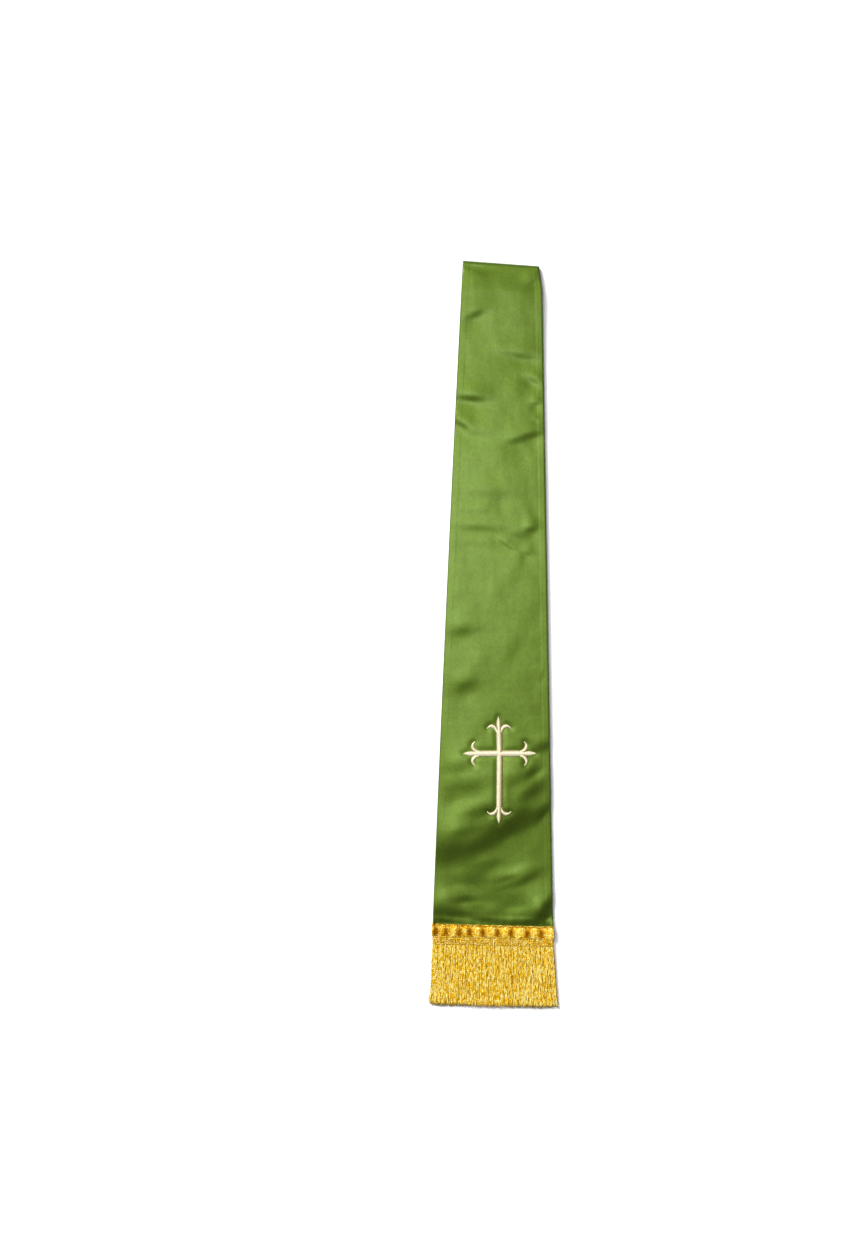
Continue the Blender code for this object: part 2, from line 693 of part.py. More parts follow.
def cross_front(top):
    """The embroidered cross: its bars and curls are joined flat, then laid over the green face."""
    made = bar("cross_front", ARM_DOWN, ARM_UP, True, STITCH_CROWN)
    others = [bar("cross_side_bar", ARM_SIDE, ARM_SIDE, False, STITCH_CROWN - SIDE_BAR_LOWER)]
    for number, arm in enumerate((ARM_SIDE, ARM_UP, ARM_SIDE, ARM_DOWN)):
        for side in (-1, 1):
            name = f"cross_curl_{number}_{side}"
            others.append(curl(name, arm, number * math.pi / 2, side, STITCH_CROWN - CURL_LOWER))
    for other in others:
        join = made.modifiers.new("join", "BOOLEAN")
        join.operation = "UNION"
        join.object = other
    bpy.context.view_layer.update()
    evaluated = made.evaluated_get(bpy.context.evaluated_depsgraph_get())
    joined = bpy.data.meshes.new_from_object(evaluated)
    made.modifiers.clear()
    made.data = joined
    for other in others:
        bpy.data.objects.remove(other)
    centre_y = y_at(CROSS_ACROSS, CROSS_DOWN)
    for vertex in joined.vertices:
        x, y, z = vertex.co
        across = CROSS_ACROSS + x * math.cos(CROSS_TURN) - y * math.sin(CROSS_TURN)
        along = centre_y + x * math.sin(CROSS_TURN) + y * math.cos(CROSS_TURN)
        level = top.height(across, down_at(across, along)) + STITCH_GAP
        vertex.co = (across + MIDDLE_X, along, level + z)
    return made


def main():
    for old in list(bpy.data.objects):
        bpy.data.objects.remove(old)
    top = FaceTop()
    front_face()
    front_reverse()
    back_half()
    header_front(top)
    header_back()
    front_fringe_level = BACK_FRINGE_LEVEL + HEADING_THICKNESS + GAP
    fringe("fringe_front", FRONT_STRANDS, front_fringe_level, FRONT_DROOP, FRONT_SEED)
    fringe("fringe_back", BACK_STRANDS, BACK_FRINGE_LEVEL, BACK_DROOP, BACK_SEED)
    cross_front(top)


main()
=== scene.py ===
# The looks of a reversible clerical stole, folded at its neck seam and laid flat: green satin over purple,
# an embroidered cross, and padded gold headers with metallic fringe.
# Metres, +Z up, seen from straight above. "Across" is measured from the stole's middle line to the right,
# and "down" from the neck fold.

import math
import random

import bpy
import numpy as np
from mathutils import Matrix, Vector


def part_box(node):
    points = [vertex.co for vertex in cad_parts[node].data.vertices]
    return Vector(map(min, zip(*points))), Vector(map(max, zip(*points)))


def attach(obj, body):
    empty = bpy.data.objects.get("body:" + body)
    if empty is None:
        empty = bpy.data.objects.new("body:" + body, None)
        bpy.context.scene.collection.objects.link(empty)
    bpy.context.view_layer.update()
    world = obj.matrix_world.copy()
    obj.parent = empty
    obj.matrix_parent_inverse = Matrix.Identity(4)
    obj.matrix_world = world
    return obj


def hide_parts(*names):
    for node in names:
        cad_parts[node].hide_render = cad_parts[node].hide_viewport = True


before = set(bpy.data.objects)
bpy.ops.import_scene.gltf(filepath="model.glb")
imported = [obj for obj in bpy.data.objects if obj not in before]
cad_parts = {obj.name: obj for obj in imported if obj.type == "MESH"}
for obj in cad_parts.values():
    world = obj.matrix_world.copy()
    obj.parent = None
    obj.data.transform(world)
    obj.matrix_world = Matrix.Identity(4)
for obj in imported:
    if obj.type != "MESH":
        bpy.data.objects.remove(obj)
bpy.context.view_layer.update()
MM = 0.001

# Outline and stack of the folded stole, as in the frame
FACE_LOW, FACE_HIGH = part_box("front_face")
CLOTH_LENGTH = 781 * MM
NECK_WIDTH = 91.2 * MM
HEM_WIDTH = FACE_HIGH.x - FACE_LOW.x
MIDDLE_X = (FACE_LOW.x + FACE_HIGH.x) / 2
NECK_SLANT = math.radians(3.4)
HEM_SLANT = math.radians(0.6)
NECK_Y = FACE_LOW.y + CLOTH_LENGTH + HEM_WIDTH / 2 * math.tan(HEM_SLANT)
LEFT_BOW = 1.2 * MM
CORNER_EASE = 4.0 * MM
CORNER_LENGTH = 40 * MM

WALL = 1.0 * MM
GAP = 0.3 * MM
HALF_THICKNESS = 2 * WALL + GAP
REST_LEVEL = HALF_THICKNESS + GAP
FOLD_INNER = 2.2 * MM
FOLD_OUTER = FOLD_INNER + HALF_THICKNESS
FOLD_LEVEL = FOLD_OUTER + FOLD_INNER
FOLD_SETTLE = 110 * MM

HEADER_DEPTH = 13.8 * MM
HEADER_SEWN = 12.9 * MM
# Where the header is tied down, as shares of its length from the left
HEADER_TIES = (0.037, 0.118, 0.229, 0.314, 0.421, 0.539, 0.653, 0.786, 0.900)
HEADER_TIE = 0.7 * MM
HEADER_CROWN = 2.4 * MM
HEADER_PROUD = 1.0 * MM
HEADER_BACK = 1.5 * MM
HEM_RISE = HEADER_BACK + GAP
HEM_RISE_LENGTH = 12 * MM
HEADING_DEPTH = 10.2 * MM
HEADING_END = CLOTH_LENGTH + HEADING_DEPTH
STRAND_LENGTH = 71.5 * MM
FLARE_LEFT = 1.6 * MM
FLARE_RIGHT = 7.0 * MM

CROSS_ACROSS = 5.0 * MM
CROSS_DOWN = 568.5 * MM
CROSS_TURN = math.radians(0.8)
ARM_UP = 42.7 * MM
ARM_SIDE = 42.2 * MM
ARM_DOWN = 80.8 * MM
UPPER_BEND = -1.4 * MM
LOWER_BEND = -0.9 * MM
BAR_HALF_WIDTH = 3.6 * MM
# The bud at a bar's tip, as (millimetres from the tip, share of the bar's half width)
BUD = [(0, 0.07), (2.5, 0.4), (5, 0.68), (8, 0.82), (11, 0.74), (14, 0.62), (17, 0.8), (21, 1.0)]
# The poles of a curl's curve, as millimetres (out from the bar, back from the arm's tip)
CURL = [(2.0, 18.5), (3.3, 11.5), (9.2, 7.9), (13.9, 13.8)]
CURL_HALF_WIDTH = 2.1 * MM
CURL_ROOT_SHARE = 0.8
CURL_TIP_SHARE = 0.3
CURL_TAPER_RANGE = (0.55, 1.0)
CROWN = 2.4 * MM
CURL_CROWN = 0.75 * CROWN
UPRIGHT_CROWN = 0.95 * CROWN
LEVEL_CROWN = 1.12 * CROWN
STITCH_SINK = 0.75 * MM
STITCH_SINK_WIDTH = 2.9 * MM

# Air under the green face, and its folds. A fold is a slope that crosses the cloth: it drops towards its
# lower side, or rises where the slope is negative. Millimetres, and degrees anticlockwise from level.
PUFF = 2.4 * MM
LOW_PUFF = 4.0 * MM
LOW_PUFF_RANGE = (540 * MM, 620 * MM)
END_PUFF = 1.4 * MM
END_PUFF_RANGE = (690 * MM, 760 * MM)
SIDE_PUFF = 1.8 * MM
PUFF_WIDTH = 40 * MM
PUFF_EASE = 0.7 * MM
HEM_PUFF = 0.2 * MM
PUFF_FADE = (4 * MM, 35 * MM)
FOLD_FADE = (3.5 * MM, 9 * MM)
HEM_FADE = (759 * MM, 769 * MM)
FOLDS = [
    dict(across=-30, down=8, half_length=18, half_width=8, turn=-3, slope=-0.30),
    dict(across=36, down=20, half_length=10, half_width=8, turn=25, slope=0.28),
    dict(across=-31, down=60, half_length=14, half_width=10, turn=22, slope=0.32),
    dict(across=24, down=107, half_length=26, half_width=10, turn=-8, slope=0.28),
    dict(across=37, down=135, half_length=11, half_width=8, turn=-30, slope=0.32),
    dict(across=-35, down=157, half_length=20, half_width=10, turn=-4, slope=0.42),
    dict(across=41, down=162, half_length=6, half_width=6, turn=0, slope=0.28),
    dict(across=-46, down=187, half_length=12, half_width=9, turn=-30, slope=0.36),
    dict(across=-26, down=198, half_length=20, half_width=10, turn=0, slope=0.13),
    dict(across=38, down=198, half_length=14, half_width=9, turn=12, slope=0.32),
    dict(across=18, down=206, half_length=16, half_width=10, turn=12, slope=0.24),
    dict(across=5, down=268, half_length=40, half_width=15, turn=0, slope=0.09),
    dict(across=-22, down=289, half_length=24, half_width=9, turn=0, slope=0.12),
    dict(across=-20, down=308, half_length=28, half_width=12, turn=-3, slope=0.19),
    dict(across=-24, down=326, half_length=22, half_width=12, turn=0, slope=0.09),
    dict(across=38, down=308, half_length=8, half_width=8, turn=10, slope=0.32),
    dict(across=28, down=316, half_length=18, half_width=10, turn=-5, slope=0.17),
    dict(across=8, down=326, half_length=10, half_width=5, turn=-40, slope=0.24),
    dict(across=34, down=336, half_length=7, half_width=6, turn=-15, slope=0.20),
    dict(across=-41, down=428, half_length=16, half_width=14, turn=10, slope=0.16),
    dict(across=-37, down=492, half_length=18, half_width=16, turn=15, slope=0.20),
    dict(across=56, down=560, half_length=11, half_width=12, turn=25, slope=0.22),
    dict(across=-38, down=584, half_length=20, half_width=14, turn=12, slope=0.15),
    dict(across=43, down=590, half_length=10, half_width=7, turn=35, slope=0.20),
    dict(across=24, down=600, half_length=18, half_width=20, turn=20, slope=0.16),
    dict(across=-30, down=610, half_length=30, half_width=26, turn=5, slope=0.08),
    dict(across=42, down=613, half_length=16, half_width=13, turn=30, slope=0.24),
    dict(across=57, down=638, half_length=13, half_width=12, turn=55, slope=0.34),
    dict(across=14, down=655, half_length=44, half_width=31, turn=30, slope=0.38),
    dict(across=-14, down=635, half_length=28, half_width=17, turn=22, slope=0.24),
    dict(across=-14, down=676, half_length=24, half_width=16, turn=20, slope=0.12),
    dict(across=-50, down=685, half_length=26, half_width=33, turn=18, slope=0.30),
    dict(across=-2, down=697, half_length=22, half_width=14, turn=20, slope=0.15),
    dict(across=16, down=713, half_length=14, half_width=8, turn=15, slope=0.16),
    dict(across=-36, down=717, half_length=24, half_width=20, turn=8, slope=0.17),
    dict(across=30, down=702, half_length=18, half_width=10, turn=32, slope=-0.10),
    dict(across=46, down=710, half_length=14, half_width=9, turn=35, slope=0.16),
    dict(across=-33, down=737, half_length=13, half_width=8, turn=0, slope=0.20),
    dict(across=-9, down=746, half_length=12, half_width=9, turn=0, slope=-0.14),
    dict(across=27, down=750, half_length=16, half_width=10, turn=10, slope=-0.14),
    dict(across=61, down=752, half_length=22, half_width=14, turn=50, slope=0.72),
    dict(across=-43, down=760, half_length=33, half_width=20, turn=-6, slope=0.50),
    dict(across=-10, down=763, half_length=16, half_width=7, turn=0, slope=0.24),
]

# Shallow folds and fine creases, given in the same way
CREASES = [
    dict(across=41, down=181, half_length=4, half_width=3.5, turn=0, slope=0.18),
    dict(across=-5, down=296, half_length=6, half_width=4, turn=0, slope=0.14),
    dict(across=17, down=331, half_length=5, half_width=2.2, turn=-40, slope=0.22),
    dict(across=-28, down=394, half_length=13, half_width=1.5, turn=-3, slope=0.10),
    dict(across=-42, down=403, half_length=10, half_width=1.5, turn=88, slope=0.08),
    dict(across=-10, down=380, half_length=26, half_width=9, turn=85, slope=-0.04),
    dict(across=54, down=475, half_length=8, half_width=4, turn=75, slope=0.12),
    dict(across=-46, down=640, half_length=30, half_width=7, turn=80, slope=-0.08),
    dict(across=0, down=232, half_length=22, half_width=13, turn=35, slope=0.05),
    dict(across=-20, down=268, half_length=20, half_width=11, turn=-20, slope=0.05),
    dict(across=20, down=450, half_length=26, half_width=14, turn=55, slope=0.05),
    dict(across=18, down=722, half_length=14, half_width=4, turn=25, slope=0.12),
    dict(across=-34, down=8, half_length=12, half_width=6, turn=0, slope=-0.50),
    dict(across=50, down=594, half_length=12, half_width=8, turn=30, slope=-0.14),
    dict(across=-34, down=607, half_length=28, half_width=18, turn=10, slope=0.14),
    dict(across=-36, down=660, half_length=22, half_width=12, turn=18, slope=0.14),
    dict(across=-19, down=747, half_length=12, half_width=8, turn=0, slope=0.17),
    dict(across=-38, down=730, half_length=9, half_width=7, turn=0, slope=0.12),
    dict(across=-50, down=622, half_length=13, half_width=12, turn=12, slope=0.08),
    dict(across=32, down=718, half_length=12, half_width=7, turn=30, slope=0.12),
    dict(across=-34, down=739, half_length=14, half_width=9, turn=0, slope=0.18),
    dict(across=-60, down=746, half_length=14, half_width=16, turn=-5, slope=0.12),
    dict(across=-56, down=765, half_length=16, half_width=6, turn=-4, slope=0.55),
    dict(across=66, down=766, half_length=6, half_width=5, turn=30, slope=0.50),
    dict(across=63, down=757, half_length=11, half_width=7, turn=45, slope=0.60),
]


def smooth(t):
    t = np.clip(t, 0.0, 1.0)
    return t * t * (3 - 2 * t)


def mix(a, b, t):
    return a + (b - a) * t


def fade(value, span):
    """Rises smoothly from 0 to 1 over a span."""
    start, end = span
    return smooth((value - start) / (end - start))


# Outline and heights, for numbers or arrays of them


def sides(down):
    share = down / CLOTH_LENGTH
    half = mix(NECK_WIDTH, HEM_WIDTH, share) / 2
    bow = LEFT_BOW * 4 * share * (1 - share)
    ease = CORNER_EASE * np.maximum(0.0, 1 - down / CORNER_LENGTH) ** 2
    return -half - bow, half - ease


def y_at(across, down):
    slant = mix(math.tan(NECK_SLANT), math.tan(HEM_SLANT), down / CLOTH_LENGTH)
    return NECK_Y - down - across * slant


def down_at(across, y):
    neck, hem = math.tan(NECK_SLANT), math.tan(HEM_SLANT)
    return (NECK_Y - y - across * neck) / (1 + across * (hem - neck) / CLOTH_LENGTH)


def placed(across, down, z):
    """Points in the frame, for arrays of places on the stole and their heights."""
    return np.stack([across + MIDDLE_X, y_at(across, down), z], axis=-1)


def hem_rise(down):
    start = CLOTH_LENGTH - HEADER_SEWN - HEM_RISE_LENGTH
    return HEM_RISE * smooth((down - start) / (HEM_RISE_LENGTH - 2 * GAP))


def front_level(down):
    settled = smooth((down - FOLD_OUTER) / FOLD_SETTLE)
    return mix(FOLD_LEVEL, REST_LEVEL, settled) + hem_rise(down)


def inset_of(across, down):
    left, right = sides(down)
    return np.maximum(0.0, np.minimum(across - left, right - across))


def slopes(across, down, table):
    """The height that a table's folds add up to."""
    height = np.zeros(np.broadcast(across, down).shape)
    for fold in table:
        turn = math.radians(fold["turn"])
        dx, dy = across - fold["across"] * MM, fold["down"] * MM - down
        along = (dx * math.cos(turn) + dy * math.sin(turn)) / (fold["half_length"] * MM)
        below = (dx * math.sin(turn) - dy * math.cos(turn)) / (fold["half_width"] * MM)
        step = fold["slope"] * fold["half_width"] * MM
        height -= step * below / (1 + below * below) ** 1.5 * np.exp(-along * along)
    return height


def lift(across, down):
    """The air under the green face, with its folds."""
    ending = fade(down, END_PUFF_RANGE)
    inside = mix(mix(PUFF, LOW_PUFF, fade(down, LOW_PUFF_RANGE)), END_PUFF, ending)
    beside = mix(SIDE_PUFF, END_PUFF, ending)
    puff = mix(beside, inside, smooth(inset_of(across, down) / PUFF_WIDTH)) * fade(down, PUFF_FADE)
    folds = slopes(across, NECK_Y - y_at(across, down), FOLDS)
    height = puff + folds * fade(down, FOLD_FADE)
    ease = PUFF_EASE * smooth(down / PUFF_FADE[1])
    height = (height + np.hypot(height, ease)) / 2
    return mix(height, HEM_PUFF, fade(down, HEM_FADE))


# Fine relief of the green face: ripples, given by their length in millimetres
RIPPLE = 0.02 * MM
RIPPLE_COUNT = 26
RIPPLE_LENGTHS = (9, 42)
RIPPLE_MIDDLE = 25 * MM
RELIEF_INSIDE = 12 * MM
RELIEF_START = (10 * MM, 40 * MM)
RELIEF_FADE = (763 * MM, 771 * MM)
RELIEF_AT_EDGE = 0.3

# The step and groove over the seam allowance, and the slope outside it
SEAM_INSET = 7.8 * MM
SEAM_STEP = 0.08 * MM
SEAM_STEP_WIDTH = 2.4 * MM
SEAM_GROOVE = 0.03 * MM
SEAM_GROOVE_INSET = SEAM_INSET + 0.4 * MM
SEAM_GROOVE_WIDTH = 0.9 * MM
LEFT_BEVEL = 0.04
LEFT_BEVEL_RANGE = (150 * MM, 350 * MM)

# The puckers and the dip where the header's stitches hold the cloth, which is deepest at the corners
PUCKER = 0.20 * MM
PUCKER_LENGTH = 7 * MM
PUCKER_PITCH = 10.5 * MM
PUCKER_STRAY = 11 * MM
HEADER_DIP = 1.0 * MM
HEADER_DIP_LENGTH = 10 * MM
CORNER_DIP_SHARE = 1.7
CORNER_DIP_WIDTH = 25 * MM
HELD_EDGE = 4 * MM


def ripples(seed):
    """Seeded waves of the cloth, as (wave number across, wave number down, phase, share of the height)."""
    rng = random.Random(seed)
    waves = []
    for _ in range(RIPPLE_COUNT):
        length = rng.uniform(*RIPPLE_LENGTHS) * MM
        turn = rng.uniform(0, math.pi)
        phase = rng.uniform(0, 7)
        number = 2 * math.pi / length
        waves.append((number * math.cos(turn), number * math.sin(turn), phase, length / RIPPLE_MIDDLE))
    return waves


RIPPLES = ripples(5)


def fine_relief(across, down):
    """Creases, ripples, the ridge of the seam allowance, and how the header's stitches hold the cloth."""
    inset = inset_of(across, down)
    height = slopes(across, NECK_Y - y_at(across, down), CREASES)
    for kx, ky, phase, share in RIPPLES:
        height = height + RIPPLE * share * np.sin(kx * across + ky * down + phase)
    inside = smooth(inset / RELIEF_INSIDE) * fade(down, RELIEF_START)
    height = height * mix(RELIEF_AT_EDGE, 1.0, inside) * (1 - fade(down, RELIEF_FADE))

    ridge = SEAM_STEP * (1 - smooth((inset - SEAM_INSET) / SEAM_STEP_WIDTH + 0.5))
    groove = SEAM_GROOVE * np.exp(-(((inset - SEAM_GROOVE_INSET) / SEAM_GROOVE_WIDTH) ** 2))
    left_edge, _ = sides(down)
    outside = np.minimum(across - left_edge - SEAM_INSET, 0)
    bevel = LEFT_BEVEL * outside * fade(down, LEFT_BEVEL_RANGE)

    before_header = CLOTH_LENGTH - HEADER_SEWN - down
    waves = np.sin(2 * math.pi * across / PUCKER_PITCH + 2 * np.sin(across / PUCKER_STRAY))
    pucker = PUCKER * np.exp(-((before_header / PUCKER_LENGTH) ** 2)) * waves
    corner = mix(CORNER_DIP_SHARE, 1.0, smooth(inset / CORNER_DIP_WIDTH))
    dip = HEADER_DIP * (1 - smooth(before_header / HEADER_DIP_LENGTH)) ** 1.6 * corner
    return height + ridge - groove + bevel + (pucker - dip) * smooth(inset / HELD_EDGE)


# The cross's strokes, in its own plane
BAR_STEPS_PER_MM = 1.6
CURL_STEPS = 26


def arm_half_width(from_tip):
    for (near, narrow), (far, wide) in zip(BUD, BUD[1:]):
        if from_tip <= far * MM:
            return mix(narrow, wide, (from_tip / MM - near) / (far - near)) * BAR_HALF_WIDTH
    return BAR_HALF_WIDTH


def bend_at(place):
    """How far the upright bar strays sideways on its way to its tips."""
    arm, bend = (ARM_UP, UPPER_BEND) if place > 0 else (ARM_DOWN, LOWER_BEND)
    return bend * (place / arm) ** 2


def bar_stroke(start, end, upright):
    """Points and half widths along a bar, which ends in a bud at both tips."""
    count = round((end - start) / MM * BAR_STEPS_PER_MM)
    spine, widths = [], []
    for i in range(count + 1):
        place = mix(start, end, i / count)
        spine.append((bend_at(place), place) if upright else (place, 0.0))
        widths.append(arm_half_width(min(place - start, end - place)))
    return spine, widths


def curl_stroke(arm, heading, side):
    """Points and half widths along a curl, from the bar to its tip."""
    spine, widths = [], []
    for i in range(CURL_STEPS + 1):
        t = i / CURL_STEPS
        blend = [(1 - t) ** 3, 3 * t * (1 - t) ** 2, 3 * t * t * (1 - t), t**3]
        out = sum(b * pole[0] for b, pole in zip(blend, CURL)) * MM * side
        ahead = arm - sum(b * pole[1] for b, pole in zip(blend, CURL)) * MM
        x = ahead * math.cos(heading) - out * math.sin(heading)
        y = ahead * math.sin(heading) + out * math.cos(heading)
        spine.append((x + bend_at(y) * abs(math.sin(heading)), y))
        swell = mix(CURL_ROOT_SHARE, 1.0, float(smooth(t * 2)))
        taper = mix(1.0, CURL_TIP_SHARE, float(fade(t, CURL_TAPER_RANGE)))
        widths.append(CURL_HALF_WIDTH * swell * taper)
    return spine, widths


def cross_strokes():
    """All the strokes as (spine, half widths, crown), in the order they are stitched."""
    strokes = []
    for number, arm in enumerate((ARM_SIDE, ARM_UP, ARM_SIDE, ARM_DOWN)):
        for side in (-1, 1):
            strokes.append((*curl_stroke(arm, number * math.pi / 2, side), CURL_CROWN))
    strokes.append((*bar_stroke(-ARM_DOWN, ARM_UP, True), UPRIGHT_CROWN))
    strokes.append((*bar_stroke(-ARM_SIDE, ARM_SIDE, False), LEVEL_CROWN))
    return strokes


STROKES = cross_strokes()


def cross_place(x, y):
    """Across and down of a point of the cross's own plane."""
    across = CROSS_ACROSS + x * math.cos(CROSS_TURN) - y * math.sin(CROSS_TURN)
    along = y_at(CROSS_ACROSS, CROSS_DOWN) + x * math.sin(CROSS_TURN) + y * math.cos(CROSS_TURN)
    return across, down_at(across, along)


def stitch_sink(across, down):
    """How far the tight stitches pull the cloth down round the cross."""
    nearest = np.full(np.broadcast(across, down).shape, CLOTH_LENGTH)
    for spine, widths, _ in STROKES:
        for (x, y), half in zip(spine[::3], widths[::3]):
            stroke_across, stroke_down = cross_place(x, y)
            nearest = np.minimum(nearest, np.hypot(across - stroke_across, down - stroke_down) - half)
    return STITCH_SINK * np.exp(-((np.maximum(nearest, 0) / STITCH_SINK_WIDTH) ** 2))


def face_top(across, down):
    """The visible top of the green face."""
    shape = lift(across, down) + fine_relief(across, down) - stitch_sink(across, down)
    return front_level(down) + HALF_THICKNESS + shape


# Meshes


def new_object(name, data):
    made = bpy.data.objects.new(name, data)
    bpy.context.collection.objects.link(made)
    return made


def link(mesh, material_used):
    mesh.shade_smooth()
    mesh.materials.append(material_used)
    return new_object(mesh.name, mesh)


def mesh_object(name, points, faces, material_used):
    mesh = bpy.data.meshes.new(name)
    mesh.from_pydata(points, [], faces)
    mesh.validate()
    return link(mesh, material_used)


def grid_faces(rows, columns, start=0):
    first = np.arange(rows - 1)[:, None] * columns + np.arange(columns - 1)[None, :] + start
    return np.stack([first, first + 1, first + columns + 1, first + columns], axis=-1).reshape(-1, 4)


def slab(upper, lower):
    """Points and faces of a closed slab between two grids of points."""
    rows, columns, _ = upper.shape
    count = rows * columns
    rim = list(range(columns))
    rim += [row * columns + columns - 1 for row in range(1, rows)]
    rim += [(rows - 1) * columns + column for column in range(columns - 2, -1, -1)]
    rim += [row * columns for row in range(rows - 2, 0, -1)]
    faces = grid_faces(rows, columns)[:, ::-1].tolist() + grid_faces(rows, columns, count).tolist()
    faces += [[a, b, b + count, a + count] for a, b in zip(rim, rim[1:] + rim[:1])]
    return np.concatenate([upper.reshape(-1, 3), lower.reshape(-1, 3)]), faces


def thin_cloth(name, grid, material_used, thickness, outward):
    """A sheet through a grid of points. Its thickness goes inwards, away from the side that shows."""
    rows, columns, _ = grid.shape
    faces = grid_faces(rows, columns)
    if outward:
        faces = faces[:, ::-1]
    made = mesh_object(name, grid.reshape(-1, 3).tolist(), faces.tolist(), material_used)
    layer = made.data.uv_layers.new(name="cloth")
    u, v = np.meshgrid(np.arange(columns) / (columns - 1), np.arange(rows) / (rows - 1))
    place = np.stack([u, v], axis=-1).reshape(-1, 2)
    corners = np.empty(len(made.data.loops), dtype=np.int32)
    made.data.loops.foreach_get("vertex_index", corners)
    layer.data.foreach_set("uv", place[corners].astype(np.float32).ravel())
    wall = made.modifiers.new("wall", "SOLIDIFY")
    wall.thickness = thickness
    wall.offset = -1
    return made


# Cloth: how a half's edges roll round to the side seam, as (inset in millimetres, share of half its
# thickness), and the insets of the next columns of points
ROLL = [(0.30, 0.02), (0.05, 0.14), (0.0, 0.36), (0.12, 0.62), (0.42, 0.84), (1.0, 0.96), (1.9, 1.0)]
OUTER_INSETS = (3.2, 4.6, 5.8, 6.6, 7.2, 7.8, 8.4, 9.0, 10.2)
INNER_INSETS = (4.0, 8.0, 13.0)
INNER_EASE = (8 * MM, 13 * MM)
ROW_STEP = 2.0 * MM
CLOTH_WALL = 0.3 * MM
TUCK = 0.5 * MM
MID = HALF_THICKNESS / 2
BACK_CLEARANCE = 0.05 * MM
UNDERSIDE_LIFT = 0.12 * MM
UNDERSIDE_RIDGE = 0.1 * MM
UNDERSIDE_RIDGE_WIDTH = 1.6 * MM

# The neck fold: rows of points round it, closer together at its seam, which draws the cloth in
FOLD_ROWS = 9
FOLD_ROW_SPREAD = 0.85
FOLD_TURN_SHARE = 0.996
SEAM_HALF_GAP = 0.02 * MM
SEAM_DIP = 0.45 * MM
SEAM_DIP_ANGLE = 0.16


def cloth_columns(down, inner, fine, tuck):
    """Distances across, with the roll shares for each column, for a whole column of rows at once."""
    insets = [i * MM + tuck for i, _ in ROLL] + [i * MM for i in fine]
    shares = [s for _, s in ROLL] + [1.0] * len(fine)
    left, right = sides(down)
    first, last = left + insets[-1], right - insets[-1]
    columns = [left + i for i in insets]
    columns += [mix(first, last, i / inner) for i in range(1, inner)]
    columns += [right - i for i in reversed(insets)]
    share = np.array(shares + [1.0] * (inner - 1) + shares[::-1])
    return np.stack(np.broadcast_arrays(*columns), axis=-1), share


def rows_down(step):
    count = round((CLOTH_LENGTH - FOLD_OUTER) / step)
    return FOLD_OUTER + (CLOTH_LENGTH - FOLD_OUTER) * np.arange(count + 1) / count


def fold_rows(across, depth, upper):
    """The rows round the neck fold: depth is out from the hollow inside it."""
    made = []
    for i in range(FOLD_ROWS):
        turned = (i / FOLD_ROWS) ** FOLD_ROW_SPREAD * math.pi / 2
        dip = SEAM_DIP * math.exp(-((turned / SEAM_DIP_ANGLE) ** 2)) * (depth > WALL + GAP)
        radius = FOLD_INNER + depth - dip
        angle = np.arcsin(SEAM_HALF_GAP / radius) + turned * FOLD_TURN_SHARE
        y = y_at(across, FOLD_OUTER) + radius * np.cos(angle)
        z = FOLD_OUTER + radius * np.sin(angle) * (1 if upper else -1)
        made.append(np.stack([across + MIDDLE_X, y, z], axis=-1))
    return np.stack(made)


def cloth_grid(inner, fine, step, depth_of, height_of, upper, tuck=0.0):
    """The points of one face of one half, from the neck seam to the hem."""
    down = rows_down(step)
    across, share = cloth_columns(down, inner, fine, tuck)
    at_fold = fold_rows(across[0], depth_of(share), upper)
    down = down[:, None]
    return np.concatenate([at_fold, placed(across, down, height_of(across, down, share))])


def outer_depth(share):
    return MID * (1 + share)


def inner_depth(share):
    return MID * (1 - share)


def green_front(material_used):
    def height(across, down, share):
        fine = (fine_relief(across, down) - stitch_sink(across, down)) * share**3
        return front_level(down) + lift(across, down) + outer_depth(share) + fine

    grid = cloth_grid(56, OUTER_INSETS, ROW_STEP, outer_depth, height, True)
    return thin_cloth("green_front", grid, material_used, CLOTH_WALL, False)


def purple_front(material_used):
    def height(across, down, share):
        at_seam = 1 - fade(inset_of(across, down), INNER_EASE)
        return front_level(down) + lift(across, down) * at_seam + inner_depth(share)

    grid = cloth_grid(10, INNER_INSETS, 3 * ROW_STEP, inner_depth, height, True, TUCK)
    return thin_cloth("purple_front", grid, material_used, CLOTH_WALL, True)


def purple_back(material_used):
    def height(across, down, share):
        return hem_rise(down) + outer_depth(share) - BACK_CLEARANCE

    grid = cloth_grid(10, INNER_INSETS, 3 * ROW_STEP, inner_depth, height, False, TUCK)
    return thin_cloth("purple_back", grid, material_used, CLOTH_WALL, False)


def green_back(material_used):
    def height(across, down, share):
        inset = inset_of(across, down)
        ridge = UNDERSIDE_RIDGE * smooth((inset - SEAM_INSET) / UNDERSIDE_RIDGE_WIDTH)
        return hem_rise(down) + inner_depth(share) + (UNDERSIDE_LIFT + ridge) * share

    grid = cloth_grid(24, OUTER_INSETS, 2 * ROW_STEP, outer_depth, height, False)
    return thin_cloth("green_back", grid, material_used, CLOTH_WALL, True)


# Threads and yarns, as tubes round paths


